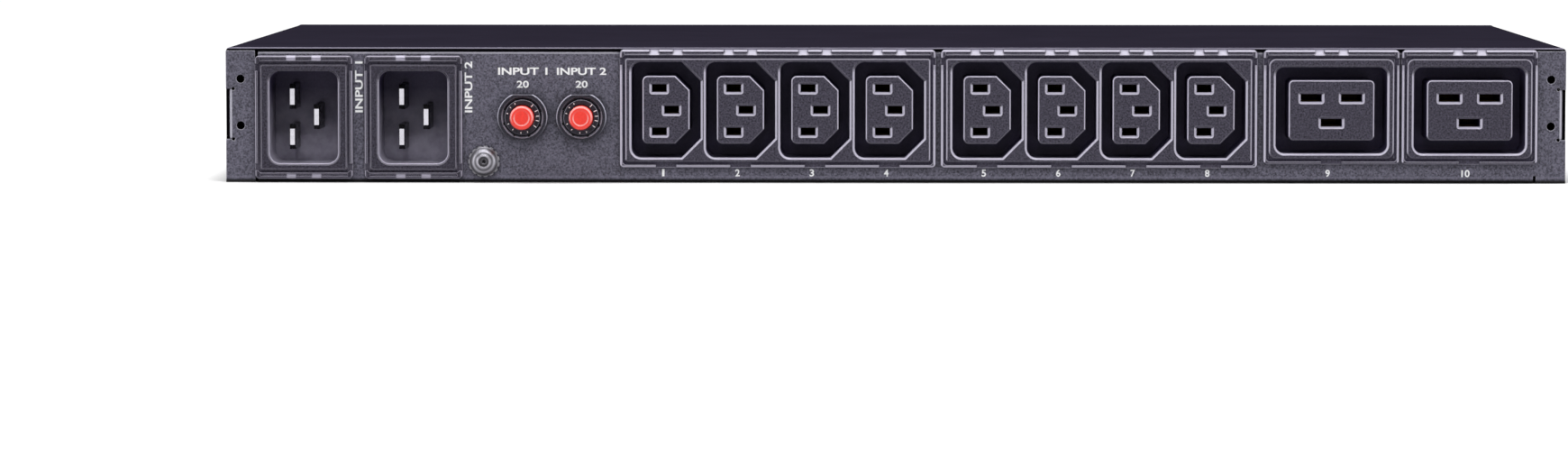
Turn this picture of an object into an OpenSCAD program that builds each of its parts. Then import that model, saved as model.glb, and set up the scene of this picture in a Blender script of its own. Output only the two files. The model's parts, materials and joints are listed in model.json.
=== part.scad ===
// Rack static transfer switch, one rack unit high.
// Two inlets feed it, electronic switches choose between them, and ten outlets leave it.
// Lengths are in millimetres. X runs along the outlet face, Y from the outlet face to the
// front panel, and Z up. The underside lies on Z = 0, and the whole is centred in X and Y.

/* [Chassis] */
// Width over the side walls
body_w = 433; // [430:0.5:440]
// Height from the underside to the top of the cover
body_h = 43.7; // [43.6:0.1:44.4]
// Depth from the outlet face to the front face
body_d = 230; // [226:1:300]
// Thickness of the steel sheet
sheet = 0.9; // [0.8:0.1:1]
// Outside radius of the folds in the base
fold_r = 1.4; // [1.2:0.1:1.8]
// Outside radius of the folds in the cover
cover_r = 1.5; // [1.2:0.1:2]
// Gap between the cover and the base where they lap
lap_gap = 0.15; // [0.1:0.05:0.25]
// Depth of the flange along the top of each end wall
wall_flange = 10; // [8:1:14]
// Distance from the side wall to the end of the long folds
fold_end = 10.5; // [9:0.5:13]
// Width of the relief notch at the end of a fold
relief_w = 1; // [0.8:0.1:1.4]
// Height of the low flanges along the sides of the base
side_flange_h = 13; // [11:0.5:13.5]
// Length of their tall part behind the front panel
ear_flange_l = 62; // [58:1:80]

/* [Side tabs] */
// Height of the middle of the tabs beside the outlet wall
tab_z = 22.15; // [21.5:0.05:22.5]
// Height of a tab
tab_h = 16.3; // [14:0.1:17]
// Length of a tab along the side
tab_l = 12; // [11:0.5:16]
// Diameter of the relief hole at each end of a tab
tab_relief_d = 1.1; // [0.8:0.1:1.4]

/* [Bracket holes] */
// Diameter of the four tapped holes for a cable bracket
bracket_hole_d = 2.7; // [2.5:0.1:3]
// Distance from the side wall to the bracket holes
bracket_hole_in = 4.8; // [4.6:0.1:5.4]
// Height of the lower bracket holes
bracket_hole_z = 18.4; // [17:0.1:19]
// Distance between the upper and lower bracket holes
bracket_pitch = 15.1; // [14.5:0.1:17]

/* [Cover fixings] */
// Thread diameter of the cover screws
cover_screw_d = 3; // [2.5:0.5:3]
// Head diameter of the cover screws
cover_head_d = 5.5; // [5:0.1:6]
// Length of the cover screws
cover_screw_l = 5; // [4:0.5:6]
// Height of the cover screws along the sides
cover_screw_z = 7; // [6:0.5:8]
// Diameter of the pressed nuts of the cover screws
cover_nut_d = 6; // [5.5:0.5:7]
// Thickness of those nuts
cover_nut_t = 1.6; // [1.2:0.1:2]

/* [Rack ear holes] */
// Core diameter of the threads that take the rack ears
ear_core_d = 3.3; // [3.2:0.1:3.4]
// Diameter of the clearance holes for the ear screws
ear_hole_d = 4.4; // [4.2:0.1:4.6]
// Spacing of the ear holes along the side
ear_pitch_y = 32; // [28:1:34]
// Spacing of the ear holes in height
ear_pitch_z = 22; // [18:1:23]
// Distance from the front face to the ear holes' middle
ear_in = 30; // [28:1:34]
// Diameter of the pressed nuts that take the ear screws
ear_nut_d = 8; // [7:0.5:8.5]
// Thickness of those nuts
ear_nut_t = 3; // [2:0.5:4]

/* [Side vents] */
// Number of slots in a vent group
vent_count = 9; // [5:1:10]
// Width of a vent slot
vent_slot_w = 2; // [1.5:0.1:2.5]
// Height of a vent slot
vent_slot_h = 15; // [10:1:17]
// Pitch of the vent slots
vent_pitch = 5; // [4.5:0.1:5.5]
// Height of the middle of the vent slots
vent_z = 26; // [25:0.5:28]
// Distance from the outlet face to the first slot
vent_first = 34; // [30:1:40]
// Pitch of the vent groups
vent_group_pitch = 62; // [58:1:64]

/* [Module flanges] */
// How far the moulded flanges stand out from the outlet wall
flange_t = 2; // [1.8:0.1:2.4]
// Corner radius of a flange
flange_r = 1.7; // [1.4:0.1:2]
// Radius of the rounded front edge of a flange
flange_round = 1.1; // [0.8:0.1:1.2]
// Height of the thick lip along a flange's top
lip_thick = 2; // [1.8:0.1:2.2]
// Width of the thin lip along the other edges
lip_thin = 0.9; // [0.8:0.1:1.2]
// Width of the groove inside the lip
groove_w = 0.9; // [0.7:0.1:1]
// Depth of the groove inside the lip
groove_d = 1.1; // [0.8:0.1:1.3]
// Bevel around the flange's inner face
face_bevel = 0.35; // [0.2:0.05:0.5]
// Width of the bevel around a socket's mouth
mouth_bevel = 0.6; // [0.4:0.1:0.7]
// Radius of the bead channel along the thick lip
bead_r = 0.4; // [0.3:0.05:0.45]
// Height of the break in the side lip below each hook
notch_h = 2.3; // [1.5:0.1:3]
// How far a module's body is set in from its flange
body_inset = 1.7; // [1.5:0.1:2]
// How far an outlet's body is set in at the top
body_top_inset = 3; // [2.9:0.1:3.1]
// Clearance around a module's body in its cut-out
cutout_gap = 0.2; // [0.1:0.05:0.3]
// Width of a snap latch on a module's body
latch_w = 6; // [5:0.5:7]
// How far a snap latch stands up from a module's body
latch_h = 0.9; // [0.6:0.1:1]
// Length of a snap latch
latch_l = 5; // [4:0.5:7]

/* [Inlets] */
// Width of an inlet's flange
inlet_w = 31.7; // [31:0.1:32]
// Distance from the cover's top to the inlets' flanges
inlet_drop = 2.6; // [2.3:0.1:3.5]
// Height of the bottom of an inlet's flange
inlet_bottom = 1.2; // [1:0.1:1.4]
// Distance from the side wall to the first inlet's flange
inlet_margin = 9.55; // [9.2:0.05:10]
// Gap between the two inlets' flanges
inlet_gap = 3.8; // [3:0.1:4]
// Width of an inlet's cavity
cavity_w = 22.2; // [22:0.1:22.6]
// Height of an inlet's cavity
cavity_h = 29.8; // [29.4:0.1:30.2]
// Corner radius of an inlet's cavity
cavity_r = 3.5; // [3:0.1:4]
// Depth of an inlet's cavity behind its flange's face
cavity_depth = 19; // [18:0.5:21]
// Thickness of the floor behind an inlet's cavity
cavity_floor = 4; // [3:0.5:5]
// Width of a blade
pin_w = 8; // [7.8:0.1:8.2]
// Thickness of a blade
pin_t = 2; // [1.9:0.1:2.1]
// Length of the line and neutral blades
pin_l = 15.5; // [15:0.5:16.5]
// How much longer the earth blade is
earth_extra = 1.5; // [1:0.5:2]
// Taper of a blade's tip along its width
pin_tip = 1.4; // [1:0.1:1.6]
// How far the blades stand to each side of the middle
pin_side = 4; // [3.8:0.1:4.2]
// Distance between the line and neutral blades
pin_pitch = 13; // [12.8:0.1:13.2]
// Width of the terminal tab behind a blade
tab_w = 6.3; // [6:0.1:6.5]
// Thickness of a terminal tab
tab_t = 0.8; // [0.7:0.1:0.9]
// Length of the terminal tab behind a blade
inlet_tab_l = 9; // [8:0.5:10]

/* [Small outlets] */
// How far a bank's flange reaches past its outlets' pitch
bank_end = 3; // [2.6:0.1:3.4]
// Pitch of the outlets in a bank
bank_pitch = 24.05; // [23.9:0.05:24.2]
// Height of the bottom of a bank's flange
bank_bottom = 4.95; // [4.5:0.05:5.4]
// Gap between the two banks' flanges
bank_gap = 1.5; // [1.2:0.1:2]
// Least room from the last breaker's middle to the first bank
breaker_room = 10; // [9:0.5:12]
// Width of a small socket's recess
small_recess_w = 22.4; // [22:0.1:22.5]
// Height of a small socket's recess
small_recess_h = 30.9; // [30.7:0.1:31]
// Radius of the recess's left corners
small_recess_r = 3.2; // [2.5:0.1:3.5]
// Size of the cut across the recess's right corners
small_recess_cut = 6.2; // [5.5:0.1:6.5]
// Width of a small socket's island
small_island_w = 15.2; // [14.8:0.1:15.4]
// Height of a small socket's island
small_island_h = 21.9; // [21.5:0.1:22]
// Radius of the island's left corners
small_island_r = 1.7; // [1.4:0.1:2]
// Size of the cut across the island's right corners
small_island_cut = 4.6; // [4:0.1:5]
// Width of a contact slot
small_slot_w = 4.8; // [4.6:0.1:5]
// How far the line and neutral slots lie to the left
small_line_side = 2.2; // [2:0.1:2.3]
// Distance between the line and neutral slots
small_line_pitch = 14; // [13.8:0.1:14.2]
// How far the earth slot lies to their right
small_earth_step = 4; // [3.9:0.1:4.1]

/* [Large outlets] */
// Width of a large outlet's flange
large_w = 43.9; // [43.5:0.1:44.1]
// Height of the bottom of a large outlet's flange
large_bottom = 6.2; // [5.8:0.1:6.6]
// Gap between the two large outlets' flanges
large_gap = 0.55; // [0.4:0.05:0.8]
// Gap between the last bank's flange and a large outlet's
large_bank_gap = 1.85; // [1.5:0.05:2.2]
// Distance from the last flange to the side wall
outlet_margin = 9.2; // [9:0.1:9.6]
// Width of a large socket's recess
large_recess_w = 35.9; // [35.8:0.1:36.2]
// Height of a large socket's recess
large_recess_h = 27.8; // [27.8:0.1:28]
// Corner radius of a large socket's recess
large_recess_r = 2.8; // [2.5:0.1:3.2]
// Width of a large socket's island
large_island_w = 27.5; // [27.2:0.1:27.6]
// Height of a large socket's island
large_island_h = 19.4; // [19:0.1:19.5]
// Corner radius of a large socket's island
large_island_r = 1.5; // [1.2:0.1:2]
// Width of a contact slot
large_slot_w = 6.8; // [6.6:0.1:7]
// Distance between the line and neutral slots
large_line_pitch = 13; // [12.8:0.1:13.2]
// How far the earth slot lies below them
large_earth_drop = 8; // [7.9:0.1:8.1]

/* [Sockets] */
// Distance from the cover's top to the outlet flanges
outlet_drop = 0.55; // [0.5:0.05:0.7]
// How far the sockets lie below the middle of a bank's flange
socket_low = 0.4; // [0:0.1:0.5]
// Depth of the recess around an island
recess_depth = 16; // [15:0.5:17]
// Height of a contact slot
slot_h = 2.5; // [2.4:0.1:2.6]
// Bevel at the mouth of a contact slot
slot_bevel = 0.7; // [0.5:0.1:0.8]
// Depth of a contact slot in front of its contact
slot_depth = 5; // [4:0.5:6]
// Depth of an outlet's body behind the outlet wall's face
outlet_depth = 22; // [21:0.5:24]
// Thickness of the plate that closes an outlet's back
back_t = 2; // [1.5:0.5:3]
// Thickness of the contact strip
contact_t = 0.6; // [0.5:0.1:0.7]
// Distance between a contact's two leaves
contact_gap = 1.9; // [1.7:0.1:2]
// Clearance around a contact in its chamber
contact_room = 0.5; // [0.3:0.1:0.6]
// Width of the break in the lower lip
lip_break = 6.7; // [6:0.1:7]
// Width of a latch pad on the upper lip
pad_w = 3.2; // [2.5:0.1:4]
// Distance from an outlet's middle to its latch pads
pad_side = 2.2; // [1.8:0.1:3]

/* [Ground screw] */
// Distance from the second inlet's middle to the ground screw
ground_side = 22.8; // [22.5:0.1:23]
// Height of the ground screw
ground_z = 6.85; // [6.7:0.05:7]
// Thread diameter of the ground screw
ground_d = 5; // [4:0.5:5]
// Length of the ground screw below its head
ground_l = 14; // [13:0.5:16]
// Head diameter of the ground screw
ground_head_d = 9.5; // [9:0.1:9.6]
// Head height of the ground screw
ground_head_h = 2.75; // [2.5:0.05:3]
// Width across the flats of its hexagon socket
ground_socket = 3; // [2.5:0.1:3.2]
// Thickness of the toothed washer
washer_t = 0.7; // [0.5:0.1:0.9]
// Width across the flats of the ground nut
ground_nut_w = 8; // [7.8:0.1:8.2]
// Thickness of the ground nut
ground_nut_t = 4; // [3.5:0.1:4.5]
// Thickness of the ground wire's ring lug
lug_t = 1; // [0.8:0.1:1.2]

/* [Breakers] */
// Distance from the second inlet's middle to the first breaker
breaker_side = 35.4; // [35:0.1:35.6]
// Pitch of the breakers
breaker_pitch = 19.05; // [18.8:0.05:19.3]
// Height of the breakers' middle
breaker_z = 21.2; // [20.8:0.1:21.5]
// Diameter of the ring nut
ring_nut_d = 16.3; // [15.8:0.1:16.6]
// Width across the ring nut's flats
ring_nut_flats = 14.7; // [14.2:0.1:15]
// Thickness of the ring nut
ring_nut_t = 3; // [2.5:0.1:3.5]
// Diameter of the threaded neck
neck_d = 11.4; // [11.2:0.1:11.6]
// Diameter of the reset button
reset_d = 7.7; // [7.5:0.1:7.8]
// Clearance around the reset button
reset_gap = 0.3; // [0.3:0.05:0.4]
// How far the reset button stands out of the ring nut when set
reset_out = 4.4; // [4:0.1:5]
// How far the reset button comes out when it trips
reset_travel = 4.5; // [4:0.1:5]
// Radius of the reset button's rounded rim
reset_rim = 0.9; // [0.6:0.1:1.1]
// Width of a breaker's case
breaker_w = 15; // [14.5:0.1:15.2]
// Height of a breaker's case
breaker_h = 28; // [26:0.5:30]
// Depth of a breaker's case
breaker_l = 32; // [30:0.5:34]
// Distance between a breaker's two terminals
breaker_tab_pitch = 14; // [13:0.5:16]
// Length of a breaker's terminals
breaker_tab_l = 9; // [8:0.5:10]

/* [Front panel] */
// Thickness of the front panel
front_t = 3; // [2.5:0.1:3.5]
// Width of the display window
window_w = 62; // [60:1:64]
// Height of the display window
window_h = 22; // [21:0.5:23]
// Thickness of the display window
window_t = 1.2; // [1:0.1:1.5]
// Width of the ledge behind the display window
window_ledge = 2; // [1.5:0.1:2.5]
// Distance from the panel's middle to the window's
window_x = 62; // [60:1:66]
// How far the window, keys and indicators lie above the panel's middle
front_lift = 0.15; // [0:0.05:0.5]
// Diameter of a key
key_d = 8; // [7.5:0.1:8.4]
// Clearance around a key
key_gap = 0.3; // [0.3:0.05:0.4]
// How far a key stands out of the panel
key_out = 1.2; // [1:0.1:1.6]
// How far a key goes in when it is pressed
key_travel = 0.8; // [0.6:0.1:1]
// Pitch of the keys
key_pitch = 14; // [13:0.5:15]
// Diameter of an indicator
led_d = 3; // [2.8:0.1:3.2]
// Number of indicators in a column
led_rows = 3; // [2:1:3]
// Pitch of the indicators
led_pitch = 8; // [7:0.5:9]
// Distance from the middle to the indicators' outer column
led_x = 18; // [17:1:20]
// Distance from the panel's middle to the first key
key_x = 8; // [6:1:10]
// Number of slots in each grille
grille_count = 9; // [6:1:9]
// Width of a grille slot
grille_slot_w = 2.4; // [2:0.1:2.8]
// Height of a grille slot
grille_slot_h = 26; // [20:1:27]
// Pitch of the grille slots
grille_pitch = 4.6; // [4.4:0.1:4.8]
// Distance from the side to a grille's outer slot
grille_margin = 14; // [13:0.5:16]

/* [Jacks] */
// Distance from the panel's middle to the first jack
jack_x = 92; // [90:1:98]
// Distance between the two jacks
jack_pitch = 22; // [20:0.5:24]
// Width of a jack's case
jack_w = 16; // [15.5:0.1:16.5]
// Height of a jack's case
jack_h = 13.4; // [13:0.1:14]
// Depth of a jack's case
jack_l = 21; // [19:0.5:22]
// Width of a jack's opening
jack_hole_w = 11.8; // [11.7:0.1:12]
// Height of a jack's opening
jack_hole_h = 6.8; // [6.7:0.1:7]
// Depth of a jack's opening
jack_hole_l = 14; // [13:0.5:15]
// Clearance around a jack in the front panel
jack_gap = 0.3; // [0.2:0.05:0.4]

/* [Boards] */
// Thickness of the circuit boards
board_t = 1.6; // [1.5:0.1:1.7]
// Distance from the sides to the power board
power_side = 11.5; // [10.5:0.5:13.5]
// Distance from the power board to the control board
board_gap = 19.6; // [19:0.1:22]
// Distance from the outlet face to the power board
power_y = 58; // [56:1:59]
// Height of the spacers under the power board
power_lift = 6; // [5:0.5:7]
// Width of the control board
control_w = 92; // [88:1:94]
// Depth of the control board
control_d = 54; // [50:1:56]
// Distance from the unit's middle to the control board's
control_x = 113; // [112:1:116]
// Height of the spacers under the control board
control_lift = 12.5; // [12:0.5:13]
// Diameter of the board spacers
spacer_d = 6; // [5:0.5:6.5]
// Core diameter of the threads in the spacers
spacer_core_d = 2.6; // [2.5:0.1:2.7]
// Distance from a board's edges to its fixings
board_margin = 5; // [4.5:0.5:6]
// Width of the display board
display_board_w = 162; // [160:1:164]
// Height of the display board
display_board_h = 32; // [30:0.5:33]
// Gap between the display board and the front wall
display_gap = 4; // [3.8:0.1:4.4]

/* [Power parts] */
// Width of a thyristor module
thyristor_w = 30; // [28:1:31]
// Depth of a thyristor module
thyristor_d = 26; // [24:1:28]
// Height of a thyristor module
thyristor_h = 12; // [10:1:14]
// Pitch of the thyristor modules
thyristor_pitch = 36; // [34:1:37]
// Gap between the heat sink and the cover
sink_gap = 3.3; // [2:0.1:6]
// Thickness of the heat sink's base
sink_base = 4; // [3:0.5:5]
// Thickness of a heat sink fin
fin_t = 1.2; // [1:0.1:1.6]
// Pitch of the heat sink fins
fin_pitch = 5; // [4.5:0.1:6]
// Depth of the heat sink
sink_d = 50; // [46:1:54]
// Height of a relay
relay_h = 25; // [22:0.5:28]
// Pitch of the relays
relay_pitch = 18; // [17:0.5:20]
// Diameter of a filter capacitor
capacitor_d = 14; // [12:0.5:15]
// Height of a filter capacitor
capacitor_h = 25; // [20:1:30]
// Diameter of the power wires
wire_d = 3.2; // [2.8:0.1:3.4]
// Height of a terminal block
terminal_h = 14; // [13:0.5:16]
// Pitch of the poles in a terminal block
terminal_pitch = 8; // [7.8:0.1:8.2]

/* [Hidden] */
$fn = 48;

// How far a cut runs past the face that it opens
over = 1;
// Gap where one piece is set into another
seat_gap = 0.1;

// Colours
steel_grey = [0.33, 0.32, 0.37];
cover_black = [0.13, 0.12, 0.17];
plastic_black = [0.15, 0.14, 0.18];
metal = [0.72, 0.72, 0.74];
brass = [0.78, 0.64, 0.32];
board_green = [0.08, 0.32, 0.17];

// Chassis
half_w = body_w / 2;
side_in = half_w - sheet - lap_gap;
base_h = body_h - sheet - lap_gap;
base_d = body_d - front_t;
fold_half = half_w - fold_end;
relief_y = fold_r + relief_w;
outlet_reach = ring_nut_t + reset_out;
outlet_y = (outlet_reach - body_d - key_out) / 2;
cover_head_h = sheet - seat_gap / 2;
vent_to_screw = 8;
cover_screw_y = [for (i = [0 : 2]) vent_first - vent_to_screw + i * vent_group_pitch];
side_screws = concat(
    [for (y = cover_screw_y) [y, cover_screw_z]], [[tab_l - cover_nut_d / 2 - 1, tab_z]]
);
ear_z = body_h / 2;
ear_y = body_d - ear_in;
ear_holes = [for (y = [-1, 1], z = [-1, 1])
    [ear_y + y * ear_pitch_y / 2, ear_z + z * ear_pitch_z / 2]];
ear_flange_h = base_h - sheet - 1.6;
front_z = body_h / 2 + front_lift;

// Places along the outlet wall
inlet_x = [for (i = [0, 1]) inlet_margin + inlet_w / 2 - half_w + i * (inlet_w + inlet_gap)];
inlet_h = body_h - inlet_drop - inlet_bottom;
inlet_z = inlet_bottom + inlet_h / 2;
ground_x = inlet_x[1] + ground_side;
breaker_x = [for (i = [0, 1]) inlet_x[1] + breaker_side + i * breaker_pitch];
large_x = [for (i = [-1, 0]) half_w - outlet_margin - large_w / 2 + i * (large_w + large_gap)];
// As many outlets to a bank as the breakers leave room for
banks_end = large_x[0] - large_w / 2 - large_bank_gap;
bank_room = (banks_end - breaker_x[1] - breaker_room - bank_gap) / 2;
bank_count = floor((bank_room - 2 * bank_end) / bank_pitch);
bank_w = bank_count * bank_pitch + 2 * bank_end;
bank_x = [for (i = [-1, 0]) banks_end - bank_w / 2 + i * (bank_w + bank_gap)];
outlet_top = body_h - outlet_drop;
socket_z = (outlet_top + bank_bottom) / 2 - socket_low;
bank_sockets = [for (i = [0 : bank_count - 1]) (i - (bank_count - 1) / 2) * bank_pitch];

// Sockets: width, height, corner radius and size of the cut across the right corners
small_recess = [small_recess_w, small_recess_h, small_recess_r, small_recess_cut];
small_island = [small_island_w, small_island_h, small_island_r, small_island_cut];
large_recess = [large_recess_w, large_recess_h, large_recess_r, 0];
large_island = [large_island_w, large_island_h, large_island_r, 0];
// Places of the three contacts from the middle of a socket: line, neutral and earth
small_contacts = [
    [-small_line_side, small_line_pitch / 2], [-small_line_side, -small_line_pitch / 2],
    [small_earth_step - small_line_side, 0]
];
large_contacts = [
    [large_line_pitch / 2, large_earth_drop / 2], [-large_line_pitch / 2, large_earth_drop / 2],
    [0, -large_earth_drop / 2]
];
strip_y = outlet_depth - 2 * contact_t;
strip_h = 2 * slot_h;
tail_w = 1.5;
tail_out = 1;
leaf_side_gap = 0.4;
outlet_back = outlet_depth + back_t;
face_corner = 0.5;
large_face_r = 2;

// Inlets
cavity_y = cavity_depth - flange_t;
inlet_back = cavity_y + cavity_floor;
inlet_latches = [-6, 6];
inlet_pins = [[-pin_side, pin_pitch / 2], [-pin_side, -pin_pitch / 2], [pin_side, 0]];

// Breakers
breaker_back = sheet + breaker_l;
reset_bore = reset_d / 2 + reset_gap;
collar_step = 0.6;
reset_collar = reset_bore + collar_step;
collar_t = 2;
chamber_y = sheet + collar_t;
tab_grip = 5;

// Front panel, measured from the outlet face
window_y = body_d - window_t;
display_board_y = base_d - sheet - display_gap - board_t;
display_board_x = window_x - 42;
display_fixing_in = [2.6, 3];
key_collar_t = 1.2;
key_back = base_d - seat_gap - key_collar_t;
keys_x = [for (i = [0 : 3]) -key_x - i * key_pitch];
leds = [for (c = [0, 1], r = [0 : led_rows - 1])
    [led_x - c * led_pitch, front_z + (r - (led_rows - 1) / 2) * led_pitch]];
display_hole_w = display_board_w - 10;
display_hole_h = window_h + 5;
grille_span = (grille_count - 1) * grille_pitch;
grille_x = half_w - grille_margin - grille_span / 2;
jacks_x = [-jack_x, -jack_x - jack_pitch];
jack_front = body_d - 0.2;
jack_hole_z = 3.4;
front_screw_x = grille_x - grille_span / 2 - 15.7;
front_screw_z = 14;
front_screws = [for (x = [-1, 1], z = [-1, 1])
    [x * front_screw_x, body_h / 2 + z * front_screw_z]];

// Boards
power_top = sheet + power_lift + board_t;
control_top = sheet + control_lift + board_t;
control_y = base_d - sheet - 0.5 - control_d;
power_w = body_w - 2 * power_side;
power_d = control_y - board_gap - power_y;
terminal_y = power_y + 2;
terminal_d = 12;
terminal_end = terminal_y + terminal_d;
transformer_w = 34;
transformer_core = 14;
transformer_h = 28;
transformer_coil = 24;
transformer_d = 28;
transformer_foot = 3;
// the gap in front of the transformers, and before and behind the capacitors
part_gap = (power_y + power_d - terminal_end - transformer_d - capacitor_d) / 3;
transformer_x = [for (x = inlet_x) x + 4];
transformer_y = terminal_end + part_gap + transformer_d / 2;
capacitor_y = power_y + power_d - part_gap - capacitor_d / 2;
relay_w = 30;
relay_d = 13;
relay_in = 82.5;
relay_row = 42;
relay_x = [for (i = [1, 0]) half_w - relay_in - i * relay_row];
sink_w = 4 * thyristor_pitch;
sink_x = (transformer_x[1] + transformer_w / 2 + relay_x[0] - relay_w / 2) / 2;
sink_y = power_y + 42;
sink_z = power_top + thyristor_h;
sink_h = body_h - sheet - sink_gap - sink_z;
choke_x = half_w - 40.5;
choke_row = 34;
choke_y = [for (s = [-1, 1]) sink_y + s * choke_row / 2];
choke_r = 8;
choke_wire_r = 4;
fixing_x = power_w / 2 - board_margin;
power_fixings = [for (
        x = [-fixing_x, (sink_x + sink_w / 2 + relay_x[0] - relay_w / 2) / 2, fixing_x],
        y = [terminal_end + 4, power_y + power_d - board_margin]
    ) [x, y]];
control_fixings = [for (x = [-1, 1], y = [board_margin, control_d - board_margin])
    [-control_x + x * (control_w / 2 - board_margin), control_y + y]];
display_fixings = [for (x = [-1, 1], z = [-1, 1])
    [display_board_x + x * (display_board_w / 2 - display_fixing_in.x),
        front_z + z * (display_board_h / 2 - display_fixing_in.y)]];
header = [24, 6, 8];
header_in = 5;
ribbon_w = 20;
screw_core_gap = 0.05;
head_r = spacer_core_d;
head_h = 1.8;
screw_grip = 4;
switch_w = 6;
switch_h = 1.8;
plunger_d = 3.4;

// Terminals and wires
pole_z = power_top + 6;
wire_r = wire_d / 2;
wire_end = terminal_y + terminal_d / 2;
output_x = [for (i = [0 : 4]) bank_x[0] - 38 + i * terminal_pitch];
earth_pole_x = ground_x - 3;
lug_wire_y = sheet + wire_r + 0.6;
lug_wire_z = ground_z + 8.5;
sleeve_wall = 0.7;
sleeve_l = 11;
sleeve_in = 6;

// Helpers

// A shape drawn in X and Z, from y0 to y1
module across(y0, y1) translate([0, y1, 0]) rotate([90, 0, 0]) linear_extrude(y1 - y0) children();

// A shape drawn in Y and Z, from x0 to x1
module along_x(x0, x1) translate([x0, 0, 0]) rotate([90, 0, 90]) linear_extrude(x1 - x0) children();

// A shape drawn in X and Y, from z0 to z1
module along_z(z0, z1) translate([0, 0, z0]) linear_extrude(z1 - z0) children();

// Turns +Z out of the outlet face
module outward() rotate([90, 0, 0]) children();

// Turns +Z out of the front face
module forward() rotate([-90, 0, 0]) children();

// Moves from the outlet face's own frame to that of the whole
module placed(tint) color(tint) translate([0, outlet_y, 0]) children();

// A rectangle with round corners
module rounded(w, h, r) {
    square([w - 2 * r, h], center = true);
    square([w, h - 2 * r], center = true);
    for (x = [-1, 1], y = [-1, 1]) translate([x * (w / 2 - r), y * (h / 2 - r)]) circle(r);
}

// A hole through t, from z = 0 up
module bore(d, t) translate([0, 0, -over]) cylinder(d = d, h = t + 2 * over);

// A cylinder with a rounded rim
module capped(r, h, rim) rotate_extrude() {
    square([r, h - rim]);
    square([r - rim, h]);
    translate([r - rim, h - rim]) circle(rim);
}

// A block standing on z, centred on x and y
module block(x, y, z, size) translate([x - size.x / 2, y - size.y / 2, z]) cube(size);

// The outline of a recess or island: round corners, or the right pair cut off
module outline(shape) {
    w = shape[0];
    h = shape[1];
    r = shape[2];
    cut = shape[3];
    if (cut == 0) {
        rounded(w, h, r);
    } else {
        polygon([
            [r - w / 2, h / 2], [w / 2 - cut, h / 2], [w / 2, h / 2 - cut],
            [w / 2, cut - h / 2], [w / 2 - cut, -h / 2], [r - w / 2, -h / 2]
        ]);
        translate([-w / 2, r - h / 2]) square([w / 2, h - 2 * r]);
        for (y = [-1, 1]) translate([r - w / 2, y * (h / 2 - r)]) circle(r);
    }
}

// A 45 degree taper between an outline and the same outline b larger all round.
// The larger end lies at y, and the taper runs from there along Y in direction dir.
module taper(shape, b, y, dir) {
    w = shape[0] / 2;
    h = shape[1] / 2;
    r = shape[2];
    cut = shape[3];
    y1 = y + dir * b;
    reach = w + h;
    difference() {
        intersection() {
            along_z(-h - b, h + b) polygon([[-w - b, y], [w + b, y], [w, y1], [-w, y1]]);
            along_x(-w - b, w + b) polygon([[y, -h - b], [y, h + b], [y1, h], [y1, -h]]);
        }
        for (x = cut == 0 ? [-1, 1] : [-1], z = [-1, 1]) translate([x * (w - r), 0, z * (h - r)])
            difference() {
                translate([x > 0 ? 0 : -reach, min(y, y1) - over, z > 0 ? 0 : -reach])
                    cube([reach, b + 2 * over, reach]);
                translate([0, y, 0]) rotate([-90 * dir, 0, 0]) cylinder(r1 = r + b, r2 = r, h = b);
            }
        if (cut > 0) for (turn = [-45, 45]) rotate([0, turn, 0]) along_z(-reach, reach)
            polygon(let (d = (w + h - cut) / sqrt(2)) [
                [d, y1 + dir * over], [d, y1], [d + b, y], [d + b, y - dir * over],
                [d + reach, y - dir * over], [d + reach, y1 + dir * over]
            ]);
    }
}

// The section of a flange across its span: Y from its face to 0, with both front edges round
module flange_section(span) intersection() {
    rounded(2 * flange_t, span, flange_round);
    translate([-flange_t, -span / 2]) square([flange_t, span]);
}

// A moulded flange, centred: a rounded block with a groove inside its lip.
// The top lip is thick, and so is the bottom one where thick_bottom says so.
module flange(w, h, thick_bottom, face_r) {
    lip_bottom = thick_bottom ? lip_thick : lip_thin;
    in_w = w - 2 * lip_thin;
    in_h = h - lip_thick - lip_bottom;
    in_z = (lip_bottom - lip_thick) / 2;
    floor_y = groove_d - flange_t;
    face_w = in_w - 2 * groove_w - 2 * face_bevel;
    face_h = in_h - 2 * groove_w - 2 * face_bevel;
    difference() {
        intersection() {
            across(-flange_t, 0) rounded(w, h, flange_r);
            along_x(-w, w) flange_section(h);
            along_z(-h, h) rotate(90) flange_section(w);
        }
        difference() {
            translate([0, 0, in_z]) across(-flange_t - over, floor_y) rounded(in_w, in_h, 1.2);
            translate([0, 0, in_z]) across(face_bevel - flange_t, over)
                rounded(face_w + 2 * face_bevel, face_h + 2 * face_bevel, face_r + face_bevel);
            translate([0, -flange_t, in_z]) mirror([0, 1, 0]) translate([0, -face_bevel, 0])
                taper([face_w, face_h, face_r, 0], face_bevel, 0, 1);
        }
        // bead channel along each thick lip
        for (z = thick_bottom ? [1, -1] : [1])
            translate([flange_r - w / 2, -flange_t, z * (h - lip_thick - bead_r) / 2])
                rotate([0, 90, 0]) cylinder(r = bead_r, h = w - 2 * flange_r);
        // breaks in the side lips below the hooks
        for (x = [-1, 1], z = thick_bottom ? [1, -1] : [1])
            translate([x * (w - lip_thin) / 2, -flange_t, z * (h / 2 - lip_thick - 0.7 - notch_h / 2)])
                cube([lip_thin + over, 2 * groove_d, notch_h], center = true);
    }
}

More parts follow.
